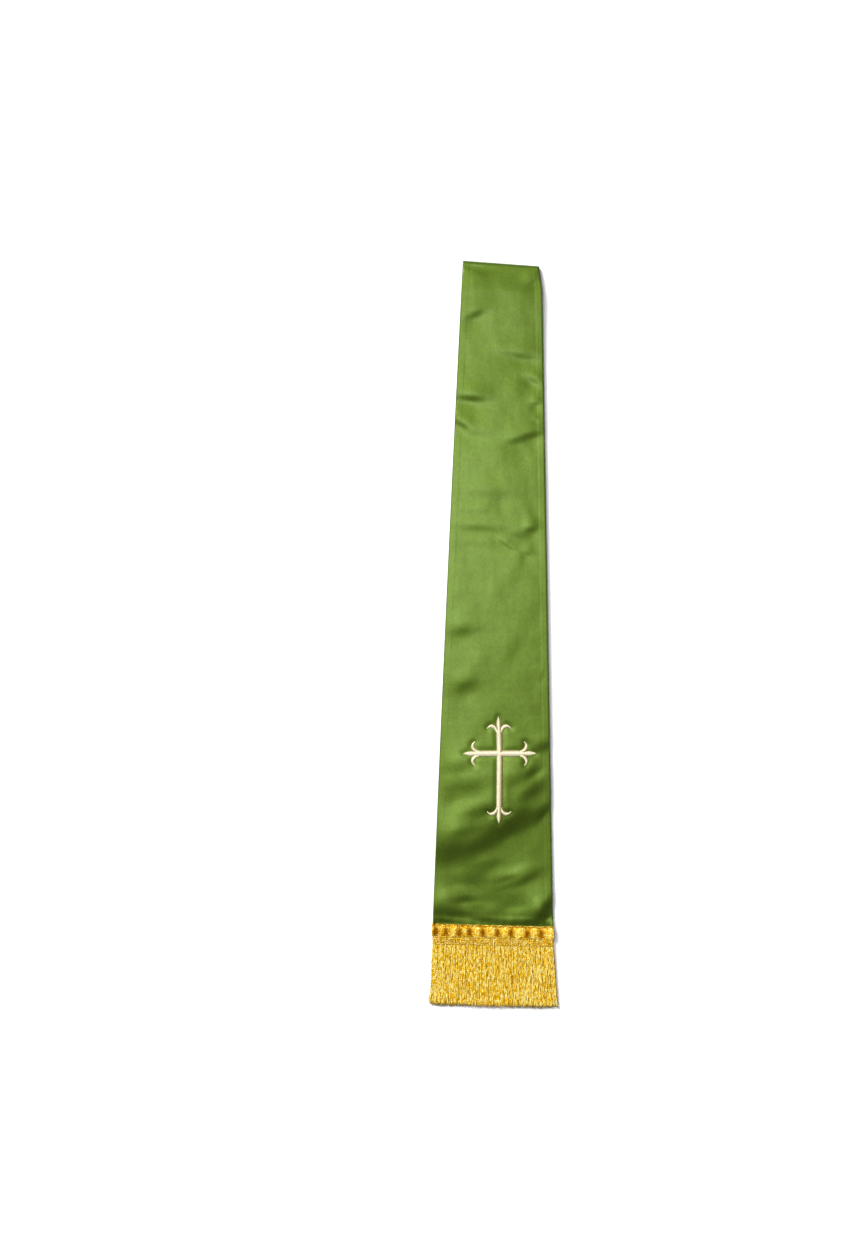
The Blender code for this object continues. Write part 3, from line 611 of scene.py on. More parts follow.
class Tubes:
    """Collects closed tubes of few sides into one mesh, with how deep in shade each part of them lies."""

    def __init__(self):
        self.points, self.faces, self.shades, self.count = [], [], [], 0

    def add(self, paths, radius, sides_of_tube, first_axis, second_axis, turn=0.0, shade=0.0):
        """paths is (number, points, 3); radius and shade may vary along them; the axes span each ring."""
        number, length, _ = paths.shape
        radius = np.broadcast_to(radius, (number, length))
        shade = np.broadcast_to(shade, (number, length))
        angles = turn + 2 * math.pi * np.arange(sides_of_tube) / sides_of_tube
        first = np.broadcast_to(first_axis, paths.shape)[:, :, None, :]
        second = np.broadcast_to(second_axis, paths.shape)[:, :, None, :]
        ring = np.cos(angles)[:, None] * first + np.sin(angles)[:, None] * second
        points = paths[:, :, None, :] + radius[:, :, None, None] * ring
        s = sides_of_tube
        i = np.arange(s)
        step = np.arange(length - 1)[:, None] * s
        corners = [step + i, step + (i + 1) % s, step + s + (i + 1) % s, step + s + i]
        quads = np.stack(corners, axis=-1).reshape(-1, 4)
        start = self.count + np.arange(number)[:, None, None] * length * s
        self.faces += (quads[None] + start).reshape(-1, 4).tolist()
        for base in start.ravel().tolist():
            self.faces.append(list(range(base + s - 1, base - 1, -1)))
            self.faces.append(list(range(base + (length - 1) * s, base + length * s)))
        self.points.append(points.reshape(-1, 3))
        self.shades.append(np.repeat(shade.reshape(-1), s))
        self.count += number * length * s

    def add_mesh(self, points, faces, shade=0.0):
        self.faces += [[i + self.count for i in face] for face in faces]
        self.points.append(points)
        self.shades.append(np.broadcast_to(shade, len(points)))
        self.count += len(points)

    def made(self, name, material_used):
        mesh = bpy.data.meshes.new(name)
        mesh.from_pydata(np.concatenate(self.points).tolist(), [], self.faces)
        layer = mesh.attributes.new("shade", "FLOAT", "POINT")
        layer.data.foreach_set("value", np.concatenate(self.shades).astype(np.float32))
        return link(mesh, material_used)


X_AXIS = np.array([1.0, 0.0, 0.0])
Y_AXIS = np.array([0.0, 1.0, 0.0])
Z_AXIS = np.array([0.0, 0.0, 1.0])


def hem_spot(share, down, z):
    """A point at or past the hem, at a share of the way along it, with the fringe's flare."""
    left, right = sides(CLOTH_LENGTH)
    past = np.maximum(0.0, (down - HEADING_END) / STRAND_LENGTH)
    shift = mix(-FLARE_LEFT, FLARE_RIGHT, share) * past
    across = mix(left, right, share)
    y = y_at(across, CLOTH_LENGTH) - (down - CLOTH_LENGTH)
    return np.stack(np.broadcast_arrays(across + shift + MIDDLE_X, y, z), axis=-1)


# Strands of the fringe: two plies each, with a twist every so many millimetres, that wander on their way
# down. A wave of a wander is (how far, how many steps from knot to knot).
STRAND_STEPS = 80
STRAND_ROOT = CLOTH_LENGTH + 1.2 * MM
STRAND_SPACING = 0.3
FREE_RANGE = (HEADING_END - 2 * MM, HEADING_END + 8 * MM)
PLY_RADIUS = 0.38 * MM
PLY_APART = 0.8
PLY_TWIST = (3.4, 5.0)
PLY_TURN = 0.9
PLY_UNEVEN = (0.8, 1.2)
TIP_FROM = 0.985
TIP_SHARE = 0.55
SWAY = [(0.75 * MM, 16), (0.42 * MM, 5)]
SWAY_AT_SIDES = 0.25
CRINKLE_ACROSS = [(0.2 * MM, 2)]
CRINKLE_DOWN = [(0.25 * MM, 2)]
CRINKLE_UP = [(0.28 * MM, 3), (0.2 * MM, 12)]
CRINKLE_HELD = 0.3
DAPPLE = [(0.22, 3)]
STRAND_DAPPLE = 0.08
PLY_DAPPLE = 0.1

# The fringe's cut end is ragged, rounded at its corners, and has a tuft that sticks out low at the left
SHORTEST_CUT = 0.8 * MM
UNEVEN_CUT = 0.5 * MM
CORNER_CUT = 1.6 * MM
TUFT = 2.2 * MM


def wander(rng, count, steps, waves):
    """Seeded wander of each of a number of threads, smooth between its knots, as the sum of some waves."""
    total = np.zeros((count, steps))
    for amount, every in waves:
        knots = rng.normal(0, amount, (count, steps // every + 2))
        place = np.arange(steps) / every
        first = place.astype(int)
        blend = smooth(place - first)
        total += knots[:, first] * (1 - blend) + knots[:, first + 1] * blend
    return total


def strand_reach(rng, share, seed):
    """How far past the heading the strands at these shares of the hem are cut off."""
    ragged = SHORTEST_CUT * np.sin(9 * share + seed) + UNEVEN_CUT * np.sin(37 * share + 2 * seed)
    at_left = np.exp(-((share / 0.03) ** 2))
    at_right = 0.8 * np.exp(-(((1 - share) / 0.05) ** 2))
    missing = SHORTEST_CUT + rng.exponential(UNEVEN_CUT, share.shape) + CORNER_CUT * (at_left + at_right)
    return STRAND_LENGTH + ragged - missing


def strand_layer(tubes, count, z_root, droop, seed, ply_radius=PLY_RADIUS, plies=2, shade=0.0):
    """A row of twisted, crinkled strands side by side, from under the header to their cut ends."""
    rng = np.random.default_rng(seed)
    t = np.linspace(0, 1, STRAND_STEPS)[None, :]
    place = np.arange(count) + 0.5 + rng.uniform(-STRAND_SPACING, STRAND_SPACING, count)
    share = (place / count)[:, None]
    down = mix(STRAND_ROOT, HEADING_END + strand_reach(rng, share, seed), t)
    free = fade(down, FREE_RANGE)
    at_sides = np.clip(np.minimum(share, 1 - share) * 25, SWAY_AT_SIDES, 1)
    sway = wander(rng, count, STRAND_STEPS, SWAY) * at_sides * free
    crinkle = wander(rng, count, STRAND_STEPS, CRINKLE_ACROSS) * mix(CRINKLE_HELD, 1.0, free)
    tuft = TUFT * np.clip(1 - share * 30, 0, 1) * np.exp(-(((t - 0.93) / 0.05) ** 2))
    path = hem_spot(share, down, z_root)
    path[:, :, 0] += sway + crinkle - tuft
    path[:, :, 1] += wander(rng, count, STRAND_STEPS, CRINKLE_DOWN) * free
    path[:, :, 2] += wander(rng, count, STRAND_STEPS, CRINKLE_UP) * free - droop * smooth(t * 1.3)

    pitch = rng.uniform(*PLY_TWIST, (count, 1)) * MM
    phase = rng.uniform(0, 2 * math.pi, (count, 1))
    # The layer's painted shade, with dappled tone that differs at random along and between strands
    dark = shade + wander(rng, count, STRAND_STEPS, DAPPLE) + rng.normal(0, STRAND_DAPPLE, (count, 1))
    taper = np.where(t > TIP_FROM, TIP_SHARE, 1.0)
    for ply in range(plies):
        centre = path.copy()
        if plies > 1:
            turn = 2 * math.pi * (down - STRAND_ROOT) / pitch + phase + 2 * math.pi * ply / plies
            centre[:, :, 0] += PLY_APART * ply_radius * np.cos(turn)
            centre[:, :, 2] += PLY_APART * ply_radius * np.sin(turn)
        radius = ply_radius * taper * rng.uniform(*PLY_UNEVEN, (count, STRAND_STEPS))
        ply_dark = dark + rng.normal(0, PLY_DAPPLE, (count, 1))
        tubes.add(centre, radius, 3, X_AXIS, Z_AXIS, turn=ply * PLY_TURN, shade=ply_dark)


def heading_tape(tubes, bottom, top, shade):
    """The plain tape behind the looped heading, with a blunt lower edge, and the painted shade it is given.
    """
    outline = [(1.2, bottom), (10.0, bottom), (10.8, (bottom + top) / 2), (10.0, top), (1.2, top)]
    shares = np.linspace(0, 1, TAPE_STEPS + 1)
    rings = [[hem_spot(share, CLOTH_LENGTH + down * MM, z) for down, z in outline] for share in shares]
    size = len(outline)
    last = TAPE_STEPS * size
    faces = [list(range(size))[::-1], list(range(last, last + size))]
    for start in range(0, last, size):
        for i in range(size):
            j = (i + 1) % size
            faces.append([start + i, start + j, start + size + j, start + size + i])
    tubes.add_mesh(np.array(rings).reshape(-1, 3), faces, shade)


# Looped threads of the heading: millimetres below the hem, half height and half width of a loop, distance
# from loop to loop, and height over the tape
HEADING_LOOPS = [
    dict(below=1.6, tall=0.30, wide=0.45, every=2.1, over=0.95),
    dict(below=3.7, tall=0.85, wide=0.85, every=2.7, over=0.45),
    dict(below=5.3, tall=1.50, wide=1.25, every=3.5, over=0.75),
    dict(below=6.9, tall=1.60, wide=1.30, every=4.1, over=0.45),
    dict(below=8.6, tall=1.45, wide=1.20, every=3.3, over=0.80),
]
LOOP_RADIUS = 0.34 * MM
LOOP_STEPS = 620
LOOP_UNEVEN = [(1.0, 14)]
TAPE_STEPS = 28


def heading_loops(tubes, top, seed):
    """Threads that loop back on themselves along the heading, with painted shade where each turns under the
    next.
    """
    rng = np.random.default_rng(seed)
    place = np.linspace(0.004, 0.996, LOOP_STEPS)
    paths, shades = [], []
    for row in HEADING_LOOPS:
        drift, swell = wander(rng, 2, LOOP_STEPS, LOOP_UNEVEN)
        turn = 2 * math.pi * place * HEM_WIDTH / (row["every"] * MM) + 1.1 * drift
        share = np.clip(place + row["wide"] * MM / HEM_WIDTH * np.sin(turn), 0, 1)
        below = row["below"] + row["tall"] * np.cos(turn) * (1 + 0.25 * swell)
        over = row["over"] + 0.3 * np.sin(turn + 0.8)
        paths.append(hem_spot(share, CLOTH_LENGTH + below * MM, top + over * MM))
        # painted shade where each loop turns under the next, with a little that differs at random
        shades.append(0.22 + 0.62 * np.sin(turn + 3) + 0.25 * drift)
    tubes.add(np.stack(paths), LOOP_RADIUS, 4, Y_AXIS, Z_AXIS, shade=np.stack(shades))


# Headers: pads between the ends and the ties, with yarns over them and turns of thread round the ties
PAD_ENDS = np.array((-0.04, *HEADER_TIES, 1.01))
PAD_FULLNESS = 2.4
PAD_ROUNDNESS = 0.55
BAND_INSIDE = (0.02, 0.98)
CORE_SHAPE = (9, 181)
CORE_LEAST = 0.2 * MM
HEADER_CLEARANCE = 0.05 * MM
BACK_HEADER_LEVEL = 0.25 * MM

YARNS = 19
YARN_STEPS = 520
YARN_RADIUS = 0.46 * MM
YARN_BANDS = (0.03, 0.97)
YARN_GATHER = 0.80
YARN_SETTLE = 0.18 * MM
YARN_STRAY = [(0.035, 9), (0.02, 3)]
YARN_BULGE = [(0.16 * MM, 4)]
YARN_MOTTLE = [(0.14, 5)]
YARN_LIGHTENING = 0.18
# Where the painted shade along the header's upper rim fades out
RIM_SHADE_RANGE = (0.08, 0.28)

TIE_TURNS = (-0.006, 0.0, 0.006)
TIE_STEPS = 22
TIE_RADIUS = 0.27 * MM
TIE_PROUD = 0.28 * MM
TIE_END_DROP = 0.5 * MM
# Painted shade in the recesses round the ties: how dark it is and how far it spreads
TIE_SHADE = 1.25
TIE_SHADE_WIDTH = 4.8 * MM


def pad_shape(along, band):
    """The header's thickness over its pads, and how full each pad is there, from none at the ties to 1."""
    pad = np.clip(np.searchsorted(PAD_ENDS, along, side="left") - 1, 0, len(PAD_ENDS) - 2)
    share = (along - PAD_ENDS[pad]) / (PAD_ENDS[pad + 1] - PAD_ENDS[pad])
    puffed = np.clip(1 - np.abs(2 * share - 1) ** PAD_FULLNESS, 0, 1)
    crown = puffed * np.sin(math.pi * np.clip(band, *BAND_INSIDE)) ** PAD_ROUNDNESS
    return mix(HEADER_TIE, HEADER_CROWN, crown), puffed


def header_spot(along, band):
    """Across and down of a place on the header."""
    down = CLOTH_LENGTH - HEADER_SEWN + HEADER_DEPTH * band
    left, right = sides(np.minimum(down, CLOTH_LENGTH))
    return mix(left - HEADER_PROUD, right + HEADER_PROUD, along), down


def front_header_base(across, down):
    """What the front header lies on."""
    left, right = sides(CLOTH_LENGTH)
    inside = np.clip(across, left + 1 * MM, right - 1 * MM)
    return face_top(inside, np.minimum(down, CLOTH_LENGTH)) + HEADER_CLEARANCE


def back_header_base(across, down):
    return np.full(np.broadcast(across, down).shape, BACK_HEADER_LEVEL)


def header_core(name, material_used, base_of, thin, squash):
    """The padding of a header under its yarns."""
    rows, columns = CORE_SHAPE
    along, band = np.meshgrid(np.linspace(0, 1, columns), np.linspace(0, 1, rows))
    across, down = header_spot(along, band)
    thick, _ = pad_shape(along, band)
    base = base_of(across, down)
    upper = placed(across, down, base + np.maximum(thick * squash - thin, CORE_LEAST))
    lower = placed(across, down, base + HEADER_CLEARANCE)
    points, faces = slab(upper, lower)
    return mesh_object(name, points.tolist(), faces, material_used)


def tie_shade(along, band):
    """Painted shade in the header where its ties draw it in: deepest below its middle."""
    nearest = np.min(np.abs(along[..., None] - np.array(HEADER_TIES)), axis=-1) * HEM_WIDTH
    depth = mix(0.35, 1.0, fade(band, (0.1, 0.55))) * mix(1.0, 0.6, fade(band, (0.85, 1.0)))
    return TIE_SHADE * np.exp(-((nearest / TIE_SHADE_WIDTH) ** 2)) * depth


def header_yarns(tubes, seed):
    """Yarns along the front header, gathered at the ties, with painted shade at the ties and along the
    header's upper rim.
    """
    rng = np.random.default_rng(seed)
    along = np.linspace(0.0, 1.0, YARN_STEPS)
    stray = wander(rng, YARNS, YARN_STEPS, YARN_STRAY)
    bulge = wander(rng, YARNS, YARN_STEPS, YARN_BULGE)
    mottle = wander(rng, YARNS, YARN_STEPS, YARN_MOTTLE)
    paths, shades = [], []
    for line in range(YARNS):
        band = mix(*YARN_BANDS, line / (YARNS - 1))
        _, puffed = pad_shape(along, band)
        drawn = mix(YARN_GATHER, 1.0, puffed**0.7)
        place = 0.5 + (band - 0.5) * drawn + stray[line] * puffed
        thick, _ = pad_shape(along, place)
        across, down = header_spot(along, np.clip(place, -0.03, 1.03))
        z = front_header_base(across, down) + thick - YARN_SETTLE + bulge[line]
        paths.append(placed(across, down, z))
        # painted shade along the upper rim and at the ties, with mottled tone that differs at random
        rim = 1 - fade(place, RIM_SHADE_RANGE)
        shades.append(tie_shade(along, place) + mottle[line] + rim - YARN_LIGHTENING)
    tubes.add(np.stack(paths), YARN_RADIUS, 5, Y_AXIS, Z_AXIS, shade=np.stack(shades))


def header_ties(tubes, seed):
    """Turns of thread that hold the front header down between its pads."""
    rng = np.random.default_rng(seed)
    band = np.linspace(0.0, 1.0, TIE_STEPS)
    drop = TIE_END_DROP * np.abs(2 * band - 1) ** 8
    paths, shades = [], []
    for tie in HEADER_TIES:
        for turn in TIE_TURNS:
            along = tie + turn + 0.002 * np.sin(5 * band + rng.uniform(0, 6))
            thick, _ = pad_shape(along, band)
            across, down = header_spot(along, band)
            z = front_header_base(across, down) + thick + TIE_PROUD - drop
            paths.append(placed(across, down, z))
            # painted shade on the turns of thread at the ties
            shades.append(0.9 * tie_shade(along, band))
    tubes.add(np.stack(paths), TIE_RADIUS, 5, X_AXIS, Z_AXIS, shade=np.stack(shades))


# Embroidery: threads laid side by side over padding, at these places across a stroke from side to side
ACROSS_STROKE = np.linspace(-1, 1, 9)
STITCH_RADIUS = 0.26 * MM
STITCH_PITCH = 0.46 * MM
STITCH_SLANT = 0.35 * MM
STITCH_LEVEL = 0.12 * MM
STITCH_ROUNDNESS = 0.62
LEAST_CROWN = 0.35 * MM
CROWN_PER_WIDTH = 0.36
PADDING_SHARE = 0.85
PADDING_BELOW = 0.05 * MM
PADDING_DEPTH = 0.1 * MM


def stroke_table(spine, widths, crown):
    """A stroke's length so far at each of its points, and rows of its x, y, run, half width and crown."""
    spine, widths = np.array(spine), np.array(widths)
    run = np.gradient(spine, axis=0)
    run /= np.linalg.norm(run, axis=1)[:, None]
    length = np.concatenate([[0], np.cumsum(np.linalg.norm(np.diff(spine, axis=0), axis=1))])
    crown_here = np.minimum(crown, LEAST_CROWN + CROWN_PER_WIDTH * widths)
    return length, np.vstack([spine.T, run.T, widths, crown_here])


def stroke_spots(table, at, slant):
    """Places across a stroke at some lengths along it, how high they rise, and which way it runs."""
    length, rows = table
    x, y, run_x, run_y, half, crown = (np.interp(at, length, row)[:, None] for row in rows)
    px = x - run_y * half * ACROSS_STROKE + run_x * slant * ACROSS_STROKE
    py = y + run_x * half * ACROSS_STROKE + run_y * slant * ACROSS_STROKE
    rise = crown * (1 - ACROSS_STROKE**2) ** STITCH_ROUNDNESS
    return px, py, rise, run_x, run_y


def on_face(px, py, rise):
    """Points over the green face, from places in the cross's own plane."""
    across, down = cross_place(px, py)
    return placed(across, down, face_top(across, down) + STITCH_LEVEL + rise)


def stitched(name, material_used):
    """A satin-stitched cross, with painted shade: each thread darker at its ends, and on the side of a
    stroke that falls to the right, away from the light.
    """
    tubes = Tubes()
    rng = np.random.default_rng(12)
    for stroke in STROKES:
        table = stroke_table(*stroke)
        length = table[0]
        px, py, rise, _, _ = stroke_spots(table, length, 0.0)
        upper = on_face(px, py, rise * PADDING_SHARE - PADDING_BELOW)
        lower = on_face(px, py, -PADDING_DEPTH)
        tubes.add_mesh(*slab(upper, lower))

        laid = np.arange(0.2 * MM, length[-1] - 0.1 * MM, STITCH_PITCH)
        px, py, rise, run_x, run_y = stroke_spots(table, laid, STITCH_SLANT)
        ahead = np.stack([run_x, run_y, np.zeros_like(run_x)], axis=-1)
        # Painted shade: darker at the thread's ends and on the right-hand side of each stroke, mottled at
        # random
        rightwards = -run_y * ACROSS_STROKE
        shade = 0.6 * np.abs(ACROSS_STROKE) ** 4 + 0.95 * smooth(rightwards / 0.75)
        shade = shade + rng.normal(0, 0.1, run_x.shape) * (0.3 + smooth(rightwards))
        path = on_face(px, py, rise + 0.02 * MM)
        tubes.add(path, STITCH_RADIUS, 4, ahead, Z_AXIS, turn=math.pi / 4, shade=shade)
    return tubes.made(name, material_used)


# Materials
GREEN = (0.090, 0.151, 0.009)
PURPLE = (0.050, 0.025, 0.34)
SATIN_METALLIC = 0.9
SATIN_ROUGHNESS = 0.53
SATIN_SPECULAR = 0.3
SATIN_GLAZE = 0.30
GLAZE_ROUGHNESS = 0.38
SATIN_GRAIN = 0.00006
SATIN_FLOATS = 0.00003

# Gold yarn: light, middle and dark flecks painted in as the glints and dull spots of its foil, and the
# colours of its painted shade
GOLD_LIGHT = (1.0, 0.88, 0.32)
GOLD_MIDDLE = (1.0, 0.70, 0.045)
GOLD_DARK = (0.84, 0.49, 0.006)
GOLD_SHADED = (0.74, 0.58, 0.22)
GOLD_DEEP = (0.34, 0.18, 0.01)
GOLD_ROUGHNESS = 0.42
GOLD_SPECULAR = 0.08
GOLD_EDGE = (1.0, 0.72, 0.15)
GOLD_FOIL = 0.0003
FRINGE_METALLIC = 0.2
HEADER_METALLIC = 0.3

# The cream thread, and the brown of its painted shade at thread ends and on right-hand sides
CREAM = (0.88, 0.80, 0.57)
CREAM_SHADED = (0.50, 0.39, 0.16)
SILK_METALLIC = 0.25
SILK_ROUGHNESS = 0.36
SILK_FIBRE = 0.00004

FLOOR_GREYS = (0.93, 0.95)
FLOOR_ROUGHNESS = 0.9
FLOOR_SPECULAR = 0.1


def node_material(name):
    made = bpy.data.materials.new(name)
    made.use_nodes = True
    return made, made.node_tree.nodes, made.node_tree.links, made.node_tree.nodes["Principled BSDF"]


def noise(nodes, links, coordinates, scale, stretch=(1, 1, 1), detail=2.0, roughness=0.5):
    mapping = nodes.new("ShaderNodeMapping")
    mapping.inputs["Scale"].default_value = stretch
    links.new(coordinates, mapping.inputs["Vector"])
    made = nodes.new("ShaderNodeTexNoise")
    made.inputs["Scale"].default_value = scale
    made.inputs["Detail"].default_value = detail
    made.inputs["Roughness"].default_value = roughness
    links.new(mapping.outputs["Vector"], made.inputs["Vector"])
    return made.outputs["Fac"]


def ramp(nodes, links, value, stops):
    made = nodes.new("ShaderNodeValToRGB")
    elements = made.color_ramp.elements
    while len(elements) < len(stops):
        elements.new(0.5)
    for element, (place, colour) in zip(elements, stops):
        element.position = place
        element.color = (*colour, 1.0)
    links.new(value, made.inputs["Fac"])
    return made.outputs["Color"]


def shade_ramp(nodes, links, stops):
    """Colours by how deep in shade each part of a thread lies."""
    shade = nodes.new("ShaderNodeAttribute")
    shade.attribute_name = "shade"
    return ramp(nodes, links, shade.outputs["Fac"], stops)


def tint(colour, factor):
    return tuple(c * factor for c in colour)


def multiply(nodes, links, first, second):
    made = nodes.new("ShaderNodeMix")
    made.data_type = "RGBA"
    made.blend_type = "MULTIPLY"
    made.inputs["Factor"].default_value = 1.0
    links.new(first, made.inputs["A"])
    links.new(second, made.inputs["B"])
    return made.outputs["Result"]


def bump(nodes, links, shader, heights):
    """Chains bumps, each given as (height, distance)."""
    normal = None
    for height, distance in heights:
        made = nodes.new("ShaderNodeBump")
        made.inputs["Strength"].default_value = 1.0
        made.inputs["Distance"].default_value = distance
        links.new(height, made.inputs["Height"])
        if normal:
            links.new(normal, made.inputs["Normal"])
        normal = made.outputs["Normal"]
    links.new(normal, shader.inputs["Normal"])


def grey(value):
    return (value, value, value)


def satin(name, colour):
    """Satin-weave cloth: fine floats along the stole, a strong soft gloss, and faint clouding."""
    made, nodes, links, shader = node_material(name)
    place = nodes.new("ShaderNodeTexCoord").outputs["Object"]
    cloud = noise(nodes, links, place, 55, detail=3)
    floats = noise(nodes, links, place, 1.0, (3300, 420, 3300), detail=1)
    grain = noise(nodes, links, place, 1.0, (480, 360, 480), detail=3, roughness=0.65)
    base = ramp(nodes, links, cloud, [(0.25, tint(colour, 0.94)), (0.75, tint(colour, 1.05))])
    fleck = ramp(nodes, links, grain, [(0.32, grey(0.87)), (0.68, grey(1.11))])
    links.new(multiply(nodes, links, base, fleck), shader.inputs["Base Color"])
    shader.inputs["Metallic"].default_value = SATIN_METALLIC
    shader.inputs["Roughness"].default_value = SATIN_ROUGHNESS
    shader.inputs["Specular IOR Level"].default_value = SATIN_SPECULAR
    shader.inputs["Coat Weight"].default_value = SATIN_GLAZE
    shader.inputs["Coat Roughness"].default_value = GLAZE_ROUGHNESS
    bump(nodes, links, shader, [(grain, SATIN_GRAIN), (floats, SATIN_FLOATS)])
    return made


def gold(name, metallic):
    """Metallic yarn: bright and dull flecks painted in as the glints of its turning foil, and brown painted
    shade where its shade attribute marks it.
    """
    made, nodes, links, shader = node_material(name)
    place = nodes.new("ShaderNodeTexCoord").outputs["Object"]
    fleck = noise(nodes, links, place, 1.0, (480, 210, 480), detail=3, roughness=0.6)
    colour = ramp(nodes, links, fleck, [(0.40, GOLD_DARK), (0.49, GOLD_MIDDLE), (0.57, GOLD_LIGHT)])
    steps = shade_ramp(nodes, links, [(0.0, grey(1.0)), (0.5, GOLD_SHADED), (1.0, GOLD_DEEP)])
    links.new(multiply(nodes, links, colour, steps), shader.inputs["Base Color"])
    shader.inputs["Metallic"].default_value = metallic
    shader.inputs["Roughness"].default_value = GOLD_ROUGHNESS
    shader.inputs["Specular IOR Level"].default_value = GOLD_SPECULAR
    shader.inputs["Specular Tint"].default_value = (*GOLD_EDGE, 1.0)
    foil = noise(nodes, links, place, 1.0, (2600, 900, 2600), detail=2)
    bump(nodes, links, shader, [(foil, GOLD_FOIL)])
    return made


def silk(name, colour, deep):
    """Embroidery thread with a silky gloss, painted brown with shade where its shade attribute marks it."""
    made, nodes, links, shader = node_material(name)
    place = nodes.new("ShaderNodeTexCoord").outputs["Object"]
    fleck = noise(nodes, links, place, 900, detail=2)
    base = ramp(nodes, links, fleck, [(0.3, tint(colour, 0.86)), (0.7, tint(colour, 1.06))])
    # painted shade, browner where the shade attribute is high
    edge = shade_ramp(nodes, links, [(0.0, grey(1.0)), (1.0, deep)])
    links.new(multiply(nodes, links, base, edge), shader.inputs["Base Color"])
    shader.inputs["Metallic"].default_value = SILK_METALLIC
    shader.inputs["Roughness"].default_value = SILK_ROUGHNESS
    fibre = noise(nodes, links, place, 3000, detail=1)
    bump(nodes, links, shader, [(fibre, SILK_FIBRE)])
    return made


def pale_floor():
    made, nodes, links, shader = node_material("pale_floor")
    place = nodes.new("ShaderNodeTexCoord").outputs["Object"]
    grain = noise(nodes, links, place, 9, detail=2)
    darker, lighter = FLOOR_GREYS
    colour = ramp(nodes, links, grain, [(0.3, grey(darker)), (0.7, grey(lighter))])
    links.new(colour, shader.inputs["Base Color"])
    shader.inputs["Roughness"].default_value = FLOOR_ROUGHNESS
    shader.inputs["Specular IOR Level"].default_value = FLOOR_SPECULAR
    return made


# The stole: rows of strands from the bottom up, with the height of their roots in millimetres, and the
# painted shade of each row
FRONT_LAYERS = [
    dict(root=4.7, count=112, shade=0.14, seed=21),
    dict(root=5.4, count=116, shade=-0.01, seed=22),
    dict(root=6.0, count=108, shade=-0.22, seed=23),
]
BACK_LAYERS = [
    dict(root=2.5, count=100, shade=0.1, seed=31),
    dict(root=3.1, count=100, shade=0.2, seed=32),
]
FRONT_DROOP = 0.9 * MM
BACK_DROOP = 0.6 * MM

# The lining under the front strands, the tapes of both headings, and the squashed back header. The lining
# and tapes carry painted shade, dark as the shade behind the strands and loops
LINING = dict(
    count=120, z_root=4.0 * MM, droop=0.7 * MM, seed=20, ply_radius=0.85 * MM, plies=1, shade=0.55
)
FRONT_TAPE = dict(bottom=4.0 * MM, top=5.9 * MM, shade=1.0)
BACK_TAPE = dict(bottom=1.1 * MM, top=3.3 * MM, shade=0.2)
LOOPS_LEVEL = 6.05 * MM
FRONT_CORE = dict(base_of=front_header_base, thin=0.55 * MM, squash=1.0)
BACK_CORE = dict(base_of=back_header_base, thin=0.1 * MM, squash=0.42)


def dress(piece, node):
    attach(piece, "root")
    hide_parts(node)
    return piece


def front_header(material_used):
    core = header_core("header_padding", material_used, **FRONT_CORE)
    yarns = Tubes()
    header_yarns(yarns, seed=3)
    header_ties(yarns, seed=4)
    braid = yarns.made("header_braid", material_used)
    return [dress(piece, "header_front") for piece in (core, braid)]


def back_header(material_used):
    core = header_core("back_header_padding", material_used, **BACK_CORE)
    return [dress(core, "header_back")]


def strand_pieces(name, layers, droop, material_used):
    pieces = []
    for number, layer in enumerate(layers):
        tubes = Tubes()
        strand_layer(tubes, layer["count"], layer["root"] * MM, droop, layer["seed"], shade=layer["shade"])
        pieces.append(tubes.made(f"{name}_{number}", material_used))
    return pieces


def front_fringe(material_used):
    strands = strand_pieces("fringe_layer", FRONT_LAYERS, FRONT_DROOP, material_used)
    under = Tubes()
    strand_layer(under, **LINING)
    heading_tape(under, **FRONT_TAPE)
    lining = under.made("fringe_lining", material_used)
    loops = Tubes()
    heading_loops(loops, LOOPS_LEVEL, seed=8)
    chain = loops.made("heading_loops", material_used)
    return [dress(piece, "fringe_front") for piece in (lining, chain, *strands)]


def back_fringe(material_used):
    strands = strand_pieces("back_fringe_layer", BACK_LAYERS, BACK_DROOP, material_used)
    tape = Tubes()
    heading_tape(tape, **BACK_TAPE)
    heading = tape.made("back_heading", material_used)
    return [dress(piece, "fringe_back") for piece in (heading, *strands)]


def build():
    green = satin("green satin", GREEN)
    purple = satin("purple satin", PURPLE)
    fringe_gold = gold("gold fringe yarn", FRINGE_METALLIC)
    header_gold = gold("gold header yarn", HEADER_METALLIC)
    cream = silk("cream gold thread", CREAM, CREAM_SHADED)

    face = dress(green_front(green), "front_face")
    reverse = dress(purple_front(purple), "front_reverse")
    under_top = dress(purple_back(purple), "back_half")
    under_face = dress(green_back(green), "back_half")

    on_front = front_header(header_gold)
    on_back = back_header(header_gold)
    on_front += front_fringe(fringe_gold)
    on_back += back_fringe(fringe_gold)
    on_front.append(dress(stitched("cross_stitching", cream), "cross_front"))


# Studio

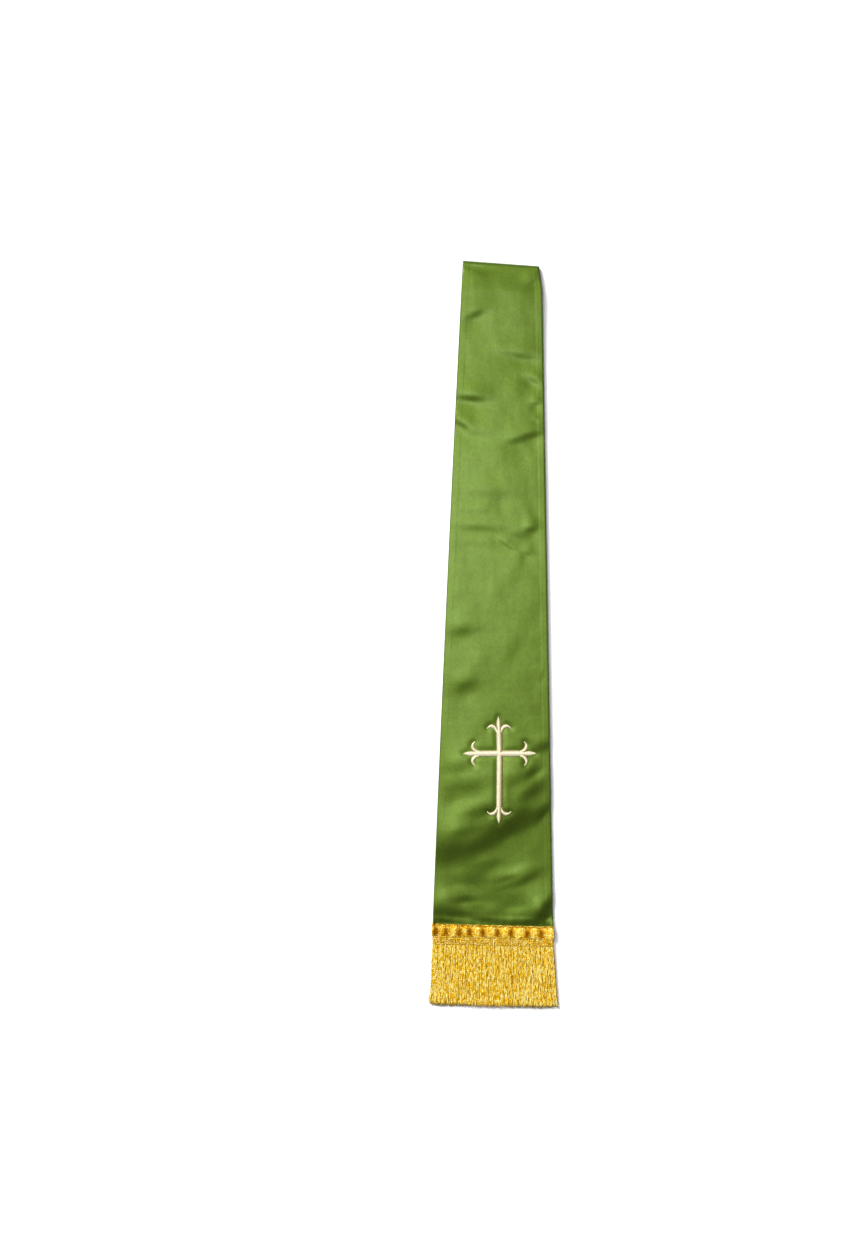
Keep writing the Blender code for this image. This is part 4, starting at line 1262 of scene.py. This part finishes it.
PHOTO_LONG_SIDE = 1250
PHOTO_CENTRE = (425, 625)
NECK_PIXEL = (502.3, 264)
MM_PER_PIXEL = 1.162
LEAN = math.radians(0.823)
LENS = 85.0
SENSOR = 36.0
KEY_FROM_VERTICAL = math.radians(48)
KEY_BEARING = math.radians(220)
KEY_SPREAD = math.radians(18)
KEY_STRENGTH = 3.8
SOFTBOX = (-0.18, 0.20, 1.25)
SOFTBOX_TOWARDS = (0.0, 0.08, 0.0)
SOFTBOX_SIZE = 0.5
SOFTBOX_POWER = 9.0
FILL_STRENGTH = 0.14
FLOOR_SIZE = 60.0


def camera():
    """Straight down over the stole, with the photograph's framing and lean."""
    data = bpy.data.cameras.new("camera")
    data.lens = LENS
    data.sensor_width = SENSOR
    made = new_object("camera", data)
    right = PHOTO_CENTRE[0] - NECK_PIXEL[0]
    below = PHOTO_CENTRE[1] - NECK_PIXEL[1]
    across = (right * math.cos(LEAN) + below * math.sin(LEAN)) * MM_PER_PIXEL * MM
    down = (below * math.cos(LEAN) - right * math.sin(LEAN)) * MM_PER_PIXEL * MM
    height = PHOTO_LONG_SIDE * MM_PER_PIXEL * MM * LENS / SENSOR
    made.location = (across + MIDDLE_X, NECK_Y - down, height + REST_LEVEL)
    made.rotation_euler = (0, 0, LEAN)
    bpy.context.scene.camera = made


def far_light(name, from_vertical, bearing, spread, strength):
    """A distant soft light, given by its angle from straight above and its bearing round the stole."""
    data = bpy.data.lights.new(name, "SUN")
    data.angle = spread
    data.energy = strength
    new_object(name, data).rotation_euler = (from_vertical, 0, bearing)


def softbox(name, place, towards, size, power):
    data = bpy.data.lights.new(name, "AREA")
    data.shape = "DISK"
    data.size = size
    data.energy = power
    made = new_object(name, data)
    made.location = place
    made.rotation_euler = (Vector(place) - Vector(towards)).to_track_quat("Z", "Y").to_euler()
    made.visible_camera = False


def studio():
    bpy.ops.mesh.primitive_plane_add(size=FLOOR_SIZE, location=(0, 0, 0))
    floor = bpy.context.object
    floor.name = "floor"
    floor.data.materials.append(pale_floor())
    far_light("key", KEY_FROM_VERTICAL, KEY_BEARING, KEY_SPREAD, KEY_STRENGTH)
    softbox("softbox", SOFTBOX, SOFTBOX_TOWARDS, SOFTBOX_SIZE, SOFTBOX_POWER)
    world = bpy.data.worlds.new("studio")
    bpy.context.scene.world = world
    world.use_nodes = True
    background = world.node_tree.nodes["Background"]
    background.inputs["Color"].default_value = (1, 1, 1, 1)
    background.inputs["Strength"].default_value = FILL_STRENGTH
    bpy.context.scene.view_settings.view_transform = "Standard"


studio()
camera()
build()
